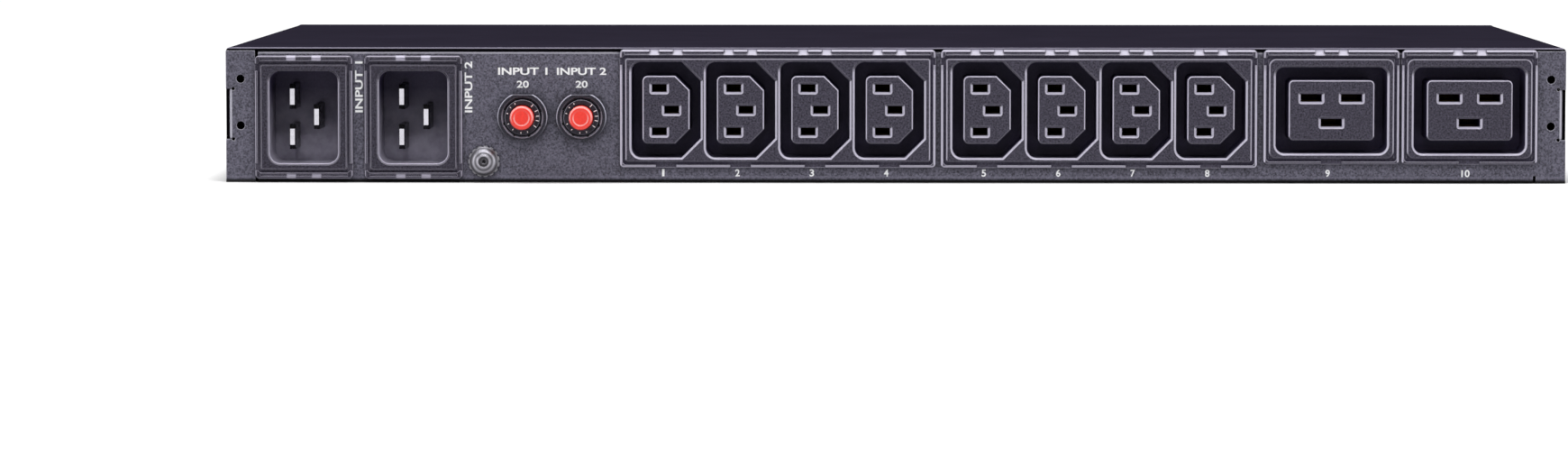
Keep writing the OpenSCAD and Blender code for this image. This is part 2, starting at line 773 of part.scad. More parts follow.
// The body behind a flange, centred on the flange, with snap latches at places xs
module module_body(w, h, top_inset, depth, xs) {
    body_h0 = h - body_inset - top_inset;
    body_z = (body_inset - top_inset) / 2;
    translate([0, 0, body_z]) {
        across(-flange_t / 2, depth) square([w - 2 * body_inset, body_h0], center = true);
        for (x = xs, s = [-1, 1]) along_x(x - latch_w / 2, x + latch_w / 2) polygon([
            [sheet + seat_gap, 0], [sheet + seat_gap, s * (body_h0 / 2 + latch_h)],
            [sheet + seat_gap + latch_l, s * body_h0 / 2], [sheet + seat_gap + latch_l, 0]
        ]);
    }
}

// The cut-out in the outlet wall for such a body
module module_cutout(w, h, top_inset) translate([0, 0, (body_inset - top_inset) / 2])
    across(-over, sheet + over) square([
        w - 2 * body_inset + 2 * cutout_gap, h - body_inset - top_inset + 2 * cutout_gap
    ], center = true);

// Chassis

// The section of the base along Y and Z: floor, both end walls and their top flanges
module base_section() difference() {
    translate([base_d / 2, base_h / 2]) rounded(base_d, base_h, fold_r);
    translate([base_d / 2, base_h / 2])
        rounded(base_d - 2 * sheet, base_h - 2 * sheet, fold_r - sheet);
    translate([wall_flange, base_h / 2]) square([base_d - 2 * wall_flange, base_h]);
}

// The section of the base along X and Z: floor and both side flanges, h high
module side_section(h) difference() {
    translate([0, base_h / 2]) rounded(2 * side_in, base_h, fold_r);
    translate([0, base_h / 2])
        rounded(2 * (side_in - sheet), base_h - 2 * sheet, fold_r - sheet);
    translate([-half_w, h]) square([body_w, base_h]);
}

// The tab folded inwards at the right end of the outlet wall
module side_tab() along_z(tab_z - tab_h / 2 + seat_gap, tab_z + tab_h / 2 - seat_gap) {
    translate([side_in - fold_r, fold_r]) difference() {
        intersection() {
            circle(fold_r);
            translate([0, -fold_r]) square(fold_r);
        }
        circle(fold_r - sheet);
    }
    translate([side_in - sheet, fold_r]) square([sheet, tab_l - fold_r]);
}

module outlet_wall_cuts() {
    for (x = inlet_x) translate([x, 0, inlet_z]) module_cutout(inlet_w, inlet_h, body_inset);
    for (x = bank_x) translate([x, 0, (outlet_top + bank_bottom) / 2])
        module_cutout(bank_w, outlet_top - bank_bottom, body_top_inset);
    for (x = large_x) translate([x, 0, (outlet_top + large_bottom) / 2])
        module_cutout(large_w, outlet_top - large_bottom, body_top_inset);
    for (x = breaker_x) translate([x, sheet, breaker_z]) outward()
        bore(neck_d + 2 * seat_gap, sheet);
    translate([ground_x, sheet, ground_z]) outward() bore(ground_d + 2 * seat_gap, sheet);
    for (x = [-1, 1], z = [bracket_hole_z, bracket_hole_z + bracket_pitch])
        translate([x * (half_w - bracket_hole_in), sheet, z]) outward()
            bore(bracket_hole_d, sheet);
}

// Openings in the base's front wall, behind the front panel's own
module front_wall_cuts() across(base_d - sheet - over, base_d + over) {
    translate([display_board_x, front_z]) square([display_hole_w, display_hole_h], center = true);
    for (x = jacks_x) translate([x, control_top + jack_h / 2])
        square([jack_w + 2, jack_h + 2], center = true);
    for (x = [-1, 1]) translate([x * grille_x, front_z])
        square([grille_span + grille_slot_w + 1.6, grille_slot_h + 1.6], center = true);
    for (p = front_screws) translate(p) circle(d = cover_screw_d + 0.4);
    for (p = display_fixings) translate(p) circle(d = spacer_core_d);
}

module base_chassis() placed(steel_grey) difference() {
    union() {
        along_x(-fold_half, fold_half) base_section();
        across(relief_y, base_d - relief_y) side_section(side_flange_h);
        across(base_d - ear_flange_l, base_d - relief_y) side_section(ear_flange_h);
        for (s = [0, 1]) mirror([s, 0, 0]) {
            difference() {
                translate([fold_half, 0, 0]) cube([fold_end, sheet, base_h]);
                translate([side_in - fold_r, -over, tab_z - tab_h / 2])
                    cube([fold_end, 4 * over, tab_h]);
            }
            side_tab();
        }
    }
    for (s = [0, 1]) mirror([s, 0, 0]) {
        // relief notches at the ends of the long folds, and holes at the ends of the tab
        for (z = [-over, base_h - relief_y]) translate([fold_half, -over, z])
            cube([relief_w, relief_y + over, relief_y + over]);
        for (z = [-1, 1]) translate([side_in - fold_r, sheet, tab_z + z * tab_h / 2])
            outward() bore(tab_relief_d, sheet);
        for (p = side_screws) translate([side_in, p[0], p[1]]) rotate([0, -90, 0])
            bore(cover_screw_d + 2 * seat_gap, sheet);
        for (p = ear_holes) translate([side_in, p[0], p[1]]) rotate([0, -90, 0])
            bore(ear_hole_d, sheet);
    }
    outlet_wall_cuts();
    front_wall_cuts();
}

module top_cover() placed(cover_black) difference() {
    across(0, base_d) difference() {
        translate([0, body_h / 2]) rounded(body_w, body_h, cover_r);
        translate([0, body_h / 2 - cover_r]) square([body_w - 2 * sheet, body_h], center = true);
        translate([0, body_h / 2]) rounded(body_w - 2 * sheet, body_h - 2 * sheet, cover_r - sheet);
        translate([-half_w - over, -over]) square([body_w + 2 * over, over + lap_gap + cover_r]);
    }
    // the outlet wall's corners stand in front of the sides
    translate([-half_w - over, -over, -over])
        cube([body_w + 2 * over, sheet + lap_gap + over, base_h + lap_gap + over]);
    for (s = [0, 1]) mirror([s, 0, 0]) {
        for (p = side_screws) translate([half_w, p[0], p[1]]) screw_seat();
        for (p = ear_holes) translate([half_w, p[0], p[1]]) rotate([0, -90, 0])
            bore(ear_hole_d, sheet);
        for (g = [0, 1], i = [0 : vent_count - 1])
            translate([half_w, vent_first + g * vent_group_pitch + i * vent_pitch, vent_z])
                rotate([0, -90, 0]) translate([0, 0, -over]) linear_extrude(sheet + 2 * over)
                    rounded(vent_slot_h, vent_slot_w, vent_slot_w / 2 - 0.01);
    }
}

// The countersink of a cover screw, opening towards +X
module screw_seat() rotate([0, -90, 0]) {
    translate([0, 0, -over]) cylinder(d = cover_head_d + 2 * seat_gap, h = over + 0.01);
    cylinder(d1 = cover_head_d + 2 * seat_gap, d2 = cover_screw_d + 0.8 + 2 * seat_gap, h = sheet);
    cylinder(d = cover_screw_d + 0.8 + 2 * seat_gap, h = sheet + over);
}

// A countersunk screw with its head's face at the origin, facing +X
module cover_screw() rotate([0, -90, 0]) difference() {
    union() {
        cylinder(d1 = cover_head_d, d2 = cover_screw_d + 0.8, h = cover_head_h);
        cylinder(d = cover_screw_d, h = cover_screw_l);
    }
    for (turn = [0, 90]) rotate(turn) translate([-1.3, -0.3, -over]) cube([2.6, 0.6, over + 0.7]);
}

module cover_screws() placed(metal) for (s = [0, 1], p = side_screws) mirror([s, 0, 0])
    translate([half_w, p[0], p[1]]) cover_screw();

// A round pressed nut on the inner face of the base's side, facing +X
module pressed_nut(d, core, t) translate([side_in - sheet, 0, 0]) rotate([0, -90, 0]) difference() {
    cylinder(d = d, h = t);
    bore(core, t);
}

module cover_nuts() placed(metal) for (s = [0, 1], p = side_screws) mirror([s, 0, 0])
    translate([0, p[0], p[1]]) pressed_nut(cover_nut_d, cover_screw_d + seat_gap, cover_nut_t);

module ear_nuts() placed(metal) for (s = [0, 1], p = ear_holes) mirror([s, 0, 0])
    translate([0, p[0], p[1]]) pressed_nut(ear_nut_d, ear_core_d, ear_nut_t);

module front_panel() placed(steel_grey) difference() {
    translate([0, 0, body_h / 2]) across(base_d, body_d) rounded(body_w, body_h, 1);
    // display window's seat and the opening behind it
    translate([window_x, 0, front_z]) {
        across(window_y, body_d + over)
            rounded(window_w + 2 * seat_gap, window_h + 2 * seat_gap, 2 + seat_gap);
        across(base_d - over, body_d)
            rounded(window_w - 2 * window_ledge, window_h - 2 * window_ledge, 1);
    }
    for (p = leds) translate([p[0], base_d, p[1]]) forward() bore(led_d + 0.3, front_t);
    for (x = keys_x) translate([x, base_d, front_z]) forward() bore(key_d + 2 * key_gap, front_t);
    for (x = jacks_x) translate([x, 0, control_top + jack_h / 2]) across(base_d - over, body_d + over)
        square([jack_w + 2 * jack_gap, jack_h + 2 * jack_gap], center = true);
    for (s = [-1, 1], i = [0 : grille_count - 1])
        translate([s * (grille_x - grille_span / 2 + i * grille_pitch), 0, front_z])
            across(base_d - over, body_d + over)
                rounded(grille_slot_w, grille_slot_h, grille_slot_w / 2 - 0.01);
    // blind holes for the screws that hold it from behind
    for (p = front_screws) translate([p[0], base_d - over, p[1]]) forward()
        cylinder(d = cover_screw_d + seat_gap, h = front_t + over - 0.7);
}

// Inlets

module inlet_housing(x) placed(plastic_black) translate([x, 0, inlet_z]) difference() {
    union() {
        flange(inlet_w, inlet_h, true, face_corner);
        module_body(inlet_w, inlet_h, body_inset, inlet_back, inlet_latches);
    }
    across(-flange_t - over, cavity_y) rounded(cavity_w, cavity_h, cavity_r);
    taper([cavity_w, cavity_h, cavity_r, 0], mouth_bevel + over, -flange_t - over, 1);
    for (p = inlet_pins) translate([p[0], 0, p[1]]) across(cavity_y - over, inlet_back + over)
        square([pin_t, pin_w], center = true);
}

module inlet_housing_a() inlet_housing(inlet_x[0]);
module inlet_housing_b() inlet_housing(inlet_x[1]);

// A blade that stands l long out of the cavity's floor, with a tapered tip and a tab behind
module blade(l) {
    tip = cavity_y - l;
    intersection() {
        across(tip, inlet_back) square([pin_t, pin_w], center = true);
        along_x(-pin_t, pin_t) polygon([
            [tip, pin_tip - pin_w / 2], [tip, pin_w / 2 - pin_tip], [tip + pin_tip, pin_w / 2],
            [inlet_back, pin_w / 2], [inlet_back, -pin_w / 2], [tip + pin_tip, -pin_w / 2]
        ]);
        along_z(-pin_w, pin_w) polygon([
            [pin_t / 8 - pin_t / 2, tip], [pin_t / 2 - pin_t / 8, tip], [pin_t / 2, tip + pin_tip],
            [pin_t / 2, inlet_back], [-pin_t / 2, inlet_back], [-pin_t / 2, tip + pin_tip]
        ]);
    }
    across(inlet_back - over, inlet_back + inlet_tab_l) square([tab_t, tab_w], center = true);
}

module inlet_blades(x) placed(metal) translate([x, 0, inlet_z]) {
    for (i = [0, 1]) translate([inlet_pins[i][0], 0, inlet_pins[i][1]]) blade(pin_l);
    translate([inlet_pins[2][0], 0, inlet_pins[2][1]]) blade(pin_l + earth_extra);
}

module inlet_pins_a() inlet_blades(inlet_x[0]);
module inlet_pins_b() inlet_blades(inlet_x[1]);

// Outlets

// The channel around a socket's island, open at the flange's face
module ring_channel(recess, island) {
    bevel = mouth_bevel / 2;
    top = [island[0] - 2 * bevel, island[1] - 2 * bevel, max(island[2] - bevel, 0.1),
        island[3] == 0 ? 0 : island[3] - bevel * (2 - sqrt(2))];
    difference() {
        union() {
            across(-flange_t - over, recess_depth) outline(recess);
            taper(recess, mouth_bevel + over, -flange_t - over, 1);
        }
        across(bevel - flange_t, recess_depth + over) outline(island);
        taper(top, bevel, bevel - flange_t, -1);
    }
}

// A contact's slot with its bevelled mouth, and the chamber behind it
module contact_hole(slot_w) {
    across(-flange_t - over, slot_depth + over) square([slot_w, slot_h], center = true);
    taper([slot_w, slot_h, 0.1, 0], slot_bevel + over, -flange_t - over, 1);
    across(slot_depth - contact_room, outlet_depth + over) square([
        slot_w - 2 * leaf_side_gap + 2 * contact_room, contact_gap + 2 * contact_t + 2 * contact_room
    ], center = true);
}

// A socket, cut from the flange's face to the body's back
module socket(recess, island, contacts, slot_w) {
    ring_channel(recess, island);
    for (p = contacts) translate([p[0], 0, p[1]]) contact_hole(slot_w);
}

// Breaks the lower lip and puts two sloping latch pads in the upper lip, h from lip to lip
module lip_cuts(h) {
    translate([0, -flange_t, -h / 2]) cube([lip_break, 2 * groove_d, 2 * lip_thin], center = true);
    for (s = [-1, 1]) translate([s * (pad_side + pad_w / 2), -flange_t, h / 2]) rotate([45, 0, 0])
        cube([pad_w, lip_thick * sqrt(2) * 0.9, lip_thick * sqrt(2) * 0.9], center = true);
}

// An outlet moulding with sockets at places xs along it
module outlet_housing(x, w, bottom, xs, face_r) {
    h = outlet_top - bottom;
    placed(plastic_black) translate([x, 0, bottom + h / 2]) difference() {
        union() {
            flange(w, h, false, face_r);
            module_body(w, h, body_top_inset, outlet_depth, xs);
        }
        for (sx = xs) translate([sx, 0, socket_z - bottom - h / 2]) children();
        for (sx = xs) translate([sx, 0, 0]) lip_cuts(h);
    }
}

module outlet_bank(i) difference() {
    outlet_housing(bank_x[i], bank_w, bank_bottom, bank_sockets, face_corner)
        socket(small_recess, small_island, small_contacts, small_slot_w);
    strip_channels(i);
}

// Shallow channels in the back of a bank, one for each contact strip
module strip_channels(i) placed(plastic_black) for (p = small_contacts)
    translate([bank_x[i] + p[0], 0, socket_z + p[1]]) across(strip_y, outlet_depth + over)
        square([
            (bank_count - 1) * bank_pitch + small_slot_w + 2 * contact_room, strip_h + 2 * seat_gap
        ], center = true);

module outlet_bank_1() outlet_bank(0);
module outlet_bank_2() outlet_bank(1);

// A contact strip with a pair of leaves at each place xs and one tail through the back
module contact_strip(xs, leaf_w, span) {
    across(strip_y, strip_y + contact_t) square([span, strip_h], center = true);
    for (x = xs, s = [-1, 1])
        translate([x, 0, s * (contact_gap + contact_t) / 2]) across(slot_depth, strip_y + contact_t)
            square([leaf_w, contact_t], center = true);
    across(strip_y, outlet_back + board_t + tail_out) square([tail_w, contact_t], center = true);
}

module bank_contacts(i) placed(brass) for (p = small_contacts)
    translate([bank_x[i] + p[0], 0, socket_z + p[1]]) contact_strip(
        bank_sockets, small_slot_w - 2 * leaf_side_gap,
        (bank_count - 1) * bank_pitch + small_slot_w
    );

module bank_contacts_1() bank_contacts(0);
module bank_contacts_2() bank_contacts(1);

// The plate that closes the back of an outlet's body, with a hole for each contact's tail
module outlet_cover(x, w, bottom, contacts) placed(plastic_black) difference() {
    h = outlet_top - bottom;
    translate([x, 0, bottom + h / 2 + (body_inset - body_top_inset) / 2])
        across(outlet_depth, outlet_back)
            rounded(w - 2 * body_inset, h - body_inset - body_top_inset, 1);
    tail_holes(x, contacts);
}

// Holes for the tails of the contacts of the outlet at x
module tail_holes(x, contacts) for (p = contacts) translate([x + p[0], 0, socket_z + p[1]])
    across(outlet_depth - over, outlet_back + board_t + over)
        square([tail_w + 2 * seat_gap, contact_t + 2 * seat_gap], center = true);

module bank_back_1() outlet_cover(bank_x[0], bank_w, bank_bottom, small_contacts);
module bank_back_2() outlet_cover(bank_x[1], bank_w, bank_bottom, small_contacts);
module large_back_1() outlet_cover(large_x[0], large_w, large_bottom, large_contacts);
module large_back_2() outlet_cover(large_x[1], large_w, large_bottom, large_contacts);

module large_outlet(i) outlet_housing(large_x[i], large_w, large_bottom, [0], large_face_r) {
    socket(large_recess, large_island, large_contacts, large_slot_w);
    for (p = large_contacts) translate([p[0], 0, p[1]]) across(strip_y, outlet_depth + over)
        square([large_slot_w + 2 * contact_room, strip_h + 2 * seat_gap], center = true);
}

module large_outlet_1() large_outlet(0);
module large_outlet_2() large_outlet(1);

module large_contact_set(i) placed(brass) for (p = large_contacts)
    translate([large_x[i] + p[0], 0, socket_z + p[1]])
        contact_strip([0], large_slot_w - 2 * leaf_side_gap, large_slot_w);

module large_contacts_1() large_contact_set(0);
module large_contacts_2() large_contact_set(1);

// The board that the outlets' tails are soldered to
module outlet_board() placed(board_green) difference() {
    left = bank_x[0] - bank_w / 2 + body_inset;
    right = large_x[1] + large_w / 2 - body_inset;
    translate([left, outlet_back, bank_bottom + body_inset])
        cube([right - left, board_t, outlet_top - body_top_inset - bank_bottom - body_inset]);
    for (x = bank_x) tail_holes(x, small_contacts);
    for (x = large_x) tail_holes(x, large_contacts);
}

// Breakers

module breaker_case(x) placed(plastic_black) translate([x, 0, breaker_z]) difference() {
    union() {
        across(sheet, breaker_back) rounded(breaker_w, breaker_h, 1);
        translate([0, sheet, 0]) outward() cylinder(d = neck_d, h = sheet + ring_nut_t + 0.3);
    }
    outward() {
        translate([0, 0, -chamber_y - over]) cylinder(r = reset_bore, h = chamber_y + ring_nut_t + 3);
        translate([0, 0, -chamber_y - collar_t - reset_travel])
            cylinder(r = reset_collar + reset_gap, h = collar_t + reset_travel + seat_gap);
    }
    for (z = [-1, 1]) translate([0, 0, z * breaker_tab_pitch / 2])
        across(breaker_back - tab_grip, breaker_back + over)
            square([tab_w, tab_t], center = true);
}

module breaker_case_1() breaker_case(breaker_x[0]);
module breaker_case_2() breaker_case(breaker_x[1]);

// The ring nut that clamps a breaker to the wall: two flats, a dished face and spanner notches
module ring_nut(x) placed(plastic_black) translate([x, 0, breaker_z]) outward() difference() {
    intersection() {
        capped(ring_nut_d / 2, ring_nut_t, 0.5);
        translate([-ring_nut_d, -ring_nut_flats / 2, -over])
            cube([2 * ring_nut_d, ring_nut_flats, ring_nut_t + 2 * over]);
    }
    bore(neck_d + 2 * seat_gap, ring_nut_t);
    translate([0, 0, ring_nut_t - 0.7])
        cylinder(r1 = neck_d / 2, r2 = ring_nut_d / 2 - 1.4, h = 0.7 + 0.01);
    for (turn = [20 : 45 : 335]) rotate(turn)
        translate([neck_d / 2 - 0.4, -0.4, ring_nut_t - 1.2]) cube([1.3, 0.8, 2]);
}

module breaker_ring_nut_1() ring_nut(breaker_x[0]);
module breaker_ring_nut_2() ring_nut(breaker_x[1]);

// A reset button, set: a rounded cap with a dished face, and a collar that keeps it in
module reset_button(x) placed([0.88, 0.16, 0.13]) translate([x, 0, breaker_z]) outward() {
    top = ring_nut_t + reset_out;
    r = reset_d / 2;
    difference() {
        translate([0, 0, -chamber_y]) capped(r, chamber_y + top, reset_rim);
        translate([0, 0, top - 0.25]) cylinder(r1 = r - reset_rim - 0.7, r2 = r - reset_rim, h = 0.5);
    }
    translate([0, 0, -chamber_y - collar_t - reset_travel]) cylinder(r = reset_collar, h = collar_t);
    translate([0, 0, -chamber_y - reset_travel]) cylinder(r = r - 0.5, h = reset_travel + over);
}

module reset_button_1() reset_button(breaker_x[0]);
module reset_button_2() reset_button(breaker_x[1]);

module breaker_terminals() placed(brass) for (x = breaker_x, z = [-1, 1])
    translate([x, 0, breaker_z + z * breaker_tab_pitch / 2])
        across(breaker_back - tab_grip, breaker_back + breaker_tab_l)
            square([tab_w, tab_t], center = true);

// Ground screw

module ground_screw() placed(metal) translate([ground_x, 0, ground_z]) outward() {
    dome = 6.5;
    difference() {
        translate([0, 0, washer_t]) intersection() {
            cylinder(d = ground_head_d, h = ground_head_h);
            translate([0, 0, ground_head_h - dome]) sphere(dome, $fn = 96);
        }
        translate([0, 0, washer_t + ground_head_h - 1.7])
            cylinder(d = ground_socket / cos(30), h = 3, $fn = 6);
        translate([0, 0, washer_t + ground_head_h - 0.4])
            cylinder(d1 = ground_socket, d2 = ground_socket + 1.6, h = 0.8);
        translate([0, 0, washer_t + ground_head_h - 2.3]) cylinder(d1 = 0, d2 = 1.8, h = 0.7);
    }
    translate([0, 0, washer_t - ground_l]) cylinder(d = ground_d, h = ground_l);
}

// A washer with teeth around its rim
module ground_washer() placed(metal) translate([ground_x, 0, ground_z]) outward() difference() {
    cylinder(d = ground_head_d + 0.6, h = washer_t);
    bore(ground_d + 2 * seat_gap, washer_t);
    for (turn = [0 : 24 : 336]) rotate(turn)
        translate([ground_head_d / 2 - 0.3, -0.4, -over]) cube([2, 0.8, washer_t + 2 * over]);
}

// The wire's ring lug under the nut, with its barrel standing up
module ground_lug() placed(metal) translate([ground_x, 0, ground_z]) difference() {
    union() {
        translate([0, sheet + lug_t, 0]) outward() cylinder(d = ground_nut_w + 1.5, h = lug_t);
        translate([-wire_r, sheet, 0]) cube([wire_d, lug_t, lug_wire_z - ground_z]);
        translate([0, lug_wire_y, lug_wire_z - ground_z - over])
            cylinder(r = lug_wire_y - sheet, h = 6);
    }
    translate([0, sheet + lug_t, 0]) outward() bore(ground_d + 2 * seat_gap, lug_t);
    translate([0, lug_wire_y, lug_wire_z - ground_z]) cylinder(r = wire_r + seat_gap / 2, h = 6);
}

module ground_nut() placed(metal) translate([ground_x, sheet + lug_t, ground_z]) forward()
    difference() {
        cylinder(d = ground_nut_w / cos(30), h = ground_nut_t, $fn = 6);
        bore(ground_d + seat_gap, ground_nut_t);
    }

// Front panel's fittings

module display_window() placed([0.1, 0.12, 0.16]) translate([window_x, 0, front_z])
    across(window_y, body_d) rounded(window_w, window_h, 2);

module display_module() placed([0.55, 0.62, 0.5]) translate([window_x, 0, front_z])
    across(display_board_y + board_t, window_y - seat_gap) square([
        window_w - 2 * window_ledge - 0.6, window_h - 2 * window_ledge - 0.6
    ], center = true);

module display_board() placed(board_green) across(display_board_y, display_board_y + board_t)
    difference() {
        translate([display_board_x, front_z])
            square([display_board_w, display_board_h], center = true);
        for (p = display_fixings) translate(p) circle(d = spacer_core_d + 0.4);
    }

// Low switches behind the keys: a square case and a round plunger
module key_switches() placed([0.2, 0.2, 0.2]) for (x = keys_x)
    translate([x, display_board_y + board_t, front_z]) forward() {
        translate([-switch_w / 2, -switch_w / 2, 0]) cube([switch_w, switch_w, switch_h]);
        cylinder(d = plunger_d, h = key_back - key_travel - seat_gap - display_board_y - board_t);
    }

module status_lights() placed([0.75, 0.85, 0.75]) for (p = leds)
    translate([p[0], display_board_y + board_t, p[1]]) forward() {
        l = body_d - 0.2 - display_board_y - board_t - led_d / 4;
        cylinder(d = led_d, h = l);
        intersection() {
            cylinder(d = led_d, h = l + led_d / 4);
            translate([0, 0, l - led_d * 3 / 8]) sphere(d = led_d * 5 / 4);
        }
    }

// A key: a rounded cap and a collar behind the panel
module key(x) placed([0.24, 0.24, 0.27]) translate([x, key_back, front_z]) forward() {
    cylinder(r = key_d / 2 + 1.1, h = key_collar_t);
    capped(key_d / 2, body_d + key_out - key_back, 0.5);
}

module source_key_a() key(keys_x[0]);
module source_key_b() key(keys_x[1]);
module menu_key() key(keys_x[2]);
module enter_key() key(keys_x[3]);

// A network jack standing on the control board, open to the front
module jack(x) placed([0.18, 0.18, 0.2]) translate([x, 0, control_top]) difference() {
    block(0, jack_front - jack_l / 2, 0, [jack_w, jack_l, jack_h]);
    // the plug's opening and the keyway of its latch: width, bottom and height
    for (cut = [[jack_hole_w, jack_hole_z, jack_hole_h], [6, 2, 2], [3.4, 1, 2]])
        block(0, jack_front - (jack_hole_l - over) / 2, cut[1], [cut[0], jack_hole_l + over, cut[2]]);
}

module network_jack() jack(jacks_x[0]);
module console_jack() jack(jacks_x[1]);

// Boards and what stands on them

module control_board() placed(board_green) along_z(control_top - board_t, control_top) difference() {
    translate([-control_x - control_w / 2, control_y]) square([control_w, control_d]);
    for (p = control_fixings) translate(p) circle(d = spacer_core_d + 0.4);
}

// The control board's parts, each a place from its middle and a size, and the flat cable's headers
module control_chips() placed([0.12, 0.12, 0.13]) {
    parts = [
        [-14, -4, [16, 16, 1.6]], [10, -9, [10, 10, 1.4]], [26, -6, [8, 14, 2]],
        [-32, -12, [5, 11, 3.6]]
    ];
    y = control_y + control_d / 2;
    for (p = parts) block(p[0] - control_x, y + p[1], control_top, p[2]);
    for (x = jacks_x) block(x, y - 1, control_top, [15, 9, 6]);
    block(-control_x, control_y + header_in, control_top, header);
    block(-control_x, power_y + power_d - header_in, power_top, header);
}

// The flat cable between the two boards: a half turn over two straight ends
module ribbon_cable() placed([0.6, 0.6, 0.62]) {
    y0 = power_y + power_d - header_in;
    y1 = control_y + header_in;
    r = (y1 - y0) / 2;
    bend_z = control_top + header.z;
    t = 0.8;
    along_x(-control_x - ribbon_w / 2, -control_x + ribbon_w / 2) {
        intersection() {
            translate([(y0 + y1) / 2, bend_z]) difference() {
                circle(r + t / 2);
                circle(r - t / 2);
            }
            translate([y0 - t, bend_z]) square([y1 - y0 + 2 * t, r + t]);
        }
        translate([y0 - t / 2, power_top + header.z]) square([t, bend_z - power_top - header.z]);
    }
}

module power_board() placed(board_green) along_z(power_top - board_t, power_top) difference() {
    translate([-power_w / 2, power_y]) square([power_w, power_d]);
    for (p = power_fixings) translate(p) circle(d = spacer_core_d + 0.4);
}

module thyristor_modules() placed([0.16, 0.16, 0.17]) for (i = [0 : 3])
    block(sink_x + (i - 1.5) * thyristor_pitch, sink_y, power_top,
        [thyristor_w, thyristor_d, thyristor_h]);

module heat_sink() placed([0.62, 0.63, 0.65]) {
    count = floor(sink_w / fin_pitch);
    block(sink_x, sink_y, sink_z, [sink_w, sink_d, sink_base]);
    for (i = [0 : count - 1]) block(sink_x + (i - (count - 1) / 2) * fin_pitch, sink_y, sink_z,
        [fin_t, sink_d, sink_h]);
}

module relays() placed([0.13, 0.13, 0.14]) for (x = relay_x, i = [0 : 3])
    block(x, sink_y + (i - 1.5) * relay_pitch, power_top, [relay_w, relay_d, relay_h]);

module filter_capacitors() placed([0.12, 0.13, 0.2]) for (i = [0 : 3])
    translate([transformer_x[0] + i * (capacitor_d + 3), capacitor_y, power_top]) {
        cylinder(d = capacitor_d, h = capacitor_h - 1);
        cylinder(d = capacitor_d - 1.6, h = capacitor_h);
    }

// Ring-shaped chokes standing on edge
module filter_chokes() placed([0.62, 0.3, 0.14]) for (y = choke_y)
    translate([choke_x, y, power_top + choke_r + choke_wire_r]) rotate([90, 0, 0])
        rotate_extrude() translate([choke_r, 0]) circle(choke_wire_r);

// Each has a core, a winding around its middle and a foot
module supply_transformers() placed([0.35, 0.33, 0.3]) for (x = transformer_x)
    translate([x, transformer_y, power_top]) {
        block(0, 0, 0, [transformer_w, transformer_core, transformer_h]);
        block(0, 0, transformer_foot,
            [transformer_coil, transformer_d, transformer_h - 2 * transformer_foot]);
        block(0, 0, 0, [transformer_d, transformer_coil, transformer_foot]);
    }

// A block of n poles, each with a wire hole and a screw hole over it
module terminal_block(x, n) translate([x, terminal_y, power_top]) difference() {
    translate([-n * terminal_pitch / 2, 0, 0]) cube([n * terminal_pitch, terminal_d, terminal_h]);
    for (i = [0 : n - 1]) translate([(i - (n - 1) / 2) * terminal_pitch, 0, 0]) {
        translate([0, wire_end - terminal_y + 2, pole_z - power_top]) outward()
            cylinder(r = wire_r + 2 * seat_gap, h = wire_end - terminal_y + 2 + over);
        translate([0, terminal_d / 2, terminal_h - 2]) cylinder(r = terminal_pitch / 4, h = 3);
    }
}

module terminal_blocks() placed([0.25, 0.42, 0.3]) {
    for (x = inlet_x) terminal_block(x, 3);
    for (x = breaker_x) terminal_block(x, 2);
    terminal_block(earth_pole_x, 1);
    terminal_block(output_x[2], 5);
}

function unit(v) = v / norm(v);

// The points of a wire's path, with each corner rounded off over length r
function rounded_path(points, r) = [for (i = [0 : len(points) - 1])
    let (p = points[i], last = len(points) - 1)
    each (i == 0 || i == last) ? [p] :
        let (a = p + r * unit(points[i - 1] - p), b = p + r * unit(points[i + 1] - p))
        [a, (a + 2 * p + b) / 4, b]
];

// A wire swept along a path that never runs along X
module wire(points) {
    path = rounded_path(points, wire_d * 0.8);
    last = len(path) - 1;
    sides = 10;
    rings = [for (i = [0 : last])
        let (
            t = unit(path[min(i + 1, last)] - path[max(i - 1, 0)]),
            u = unit(cross(t, [1, 0, 0])),
            v = cross(t, u)
        )
        for (k = [0 : sides - 1])
            path[i] + wire_d / 2 * (cos(k * 360 / sides) * u + sin(k * 360 / sides) * v)
    ];
    polyhedron(rings, concat(
        [[for (k = [0 : sides - 1]) k]],
        [[for (k = [sides - 1 : -1 : 0]) last * sides + k]],
        [for (i = [0 : last - 1], k = [0 : sides - 1]) [
            i * sides + k, (i + 1) * sides + k,
            (i + 1) * sides + (k + 1) % sides, i * sides + (k + 1) % sides
        ]]
    ), convexity = 4);
}

// A push-on sleeve around a tab that ends at y; upright tabs stand in Z
module sleeve(x, y, z, upright) translate([x, 0, z]) difference() {
    hole = [tab_t, tab_w] + 2 * seat_gap * [1, 1];
    size = hole + 2 * sleeve_wall * [1, 1];
    across(y - sleeve_in, y - sleeve_in + sleeve_l)
        square(upright ? size : [size.y, size.x], center = true);
    across(y - sleeve_in - over, y) square(upright ? hole : [hole.y, hole.x], center = true);
}

// A wire from a tab that ends at y to the pole at pole_x
module tab_wire(x, y, z, pole_x, upright) {
    sleeve_end = y - sleeve_in + sleeve_l;
    sleeve(x, y, z, upright);
    wire([
        [x, sleeve_end - over, z], [x, sleeve_end + wire_d, z],
        [pole_x, terminal_y - 4, pole_z], [pole_x, wire_end, pole_z]
    ]);
}

module input_wires() placed([0.2, 0.2, 0.22]) for (x = inlet_x, i = [0 : 2])
    tab_wire(x + inlet_pins[i][0], inlet_back + inlet_tab_l, inlet_z + inlet_pins[i][1],
        x + [-1, 0, 1][i] * terminal_pitch, true);

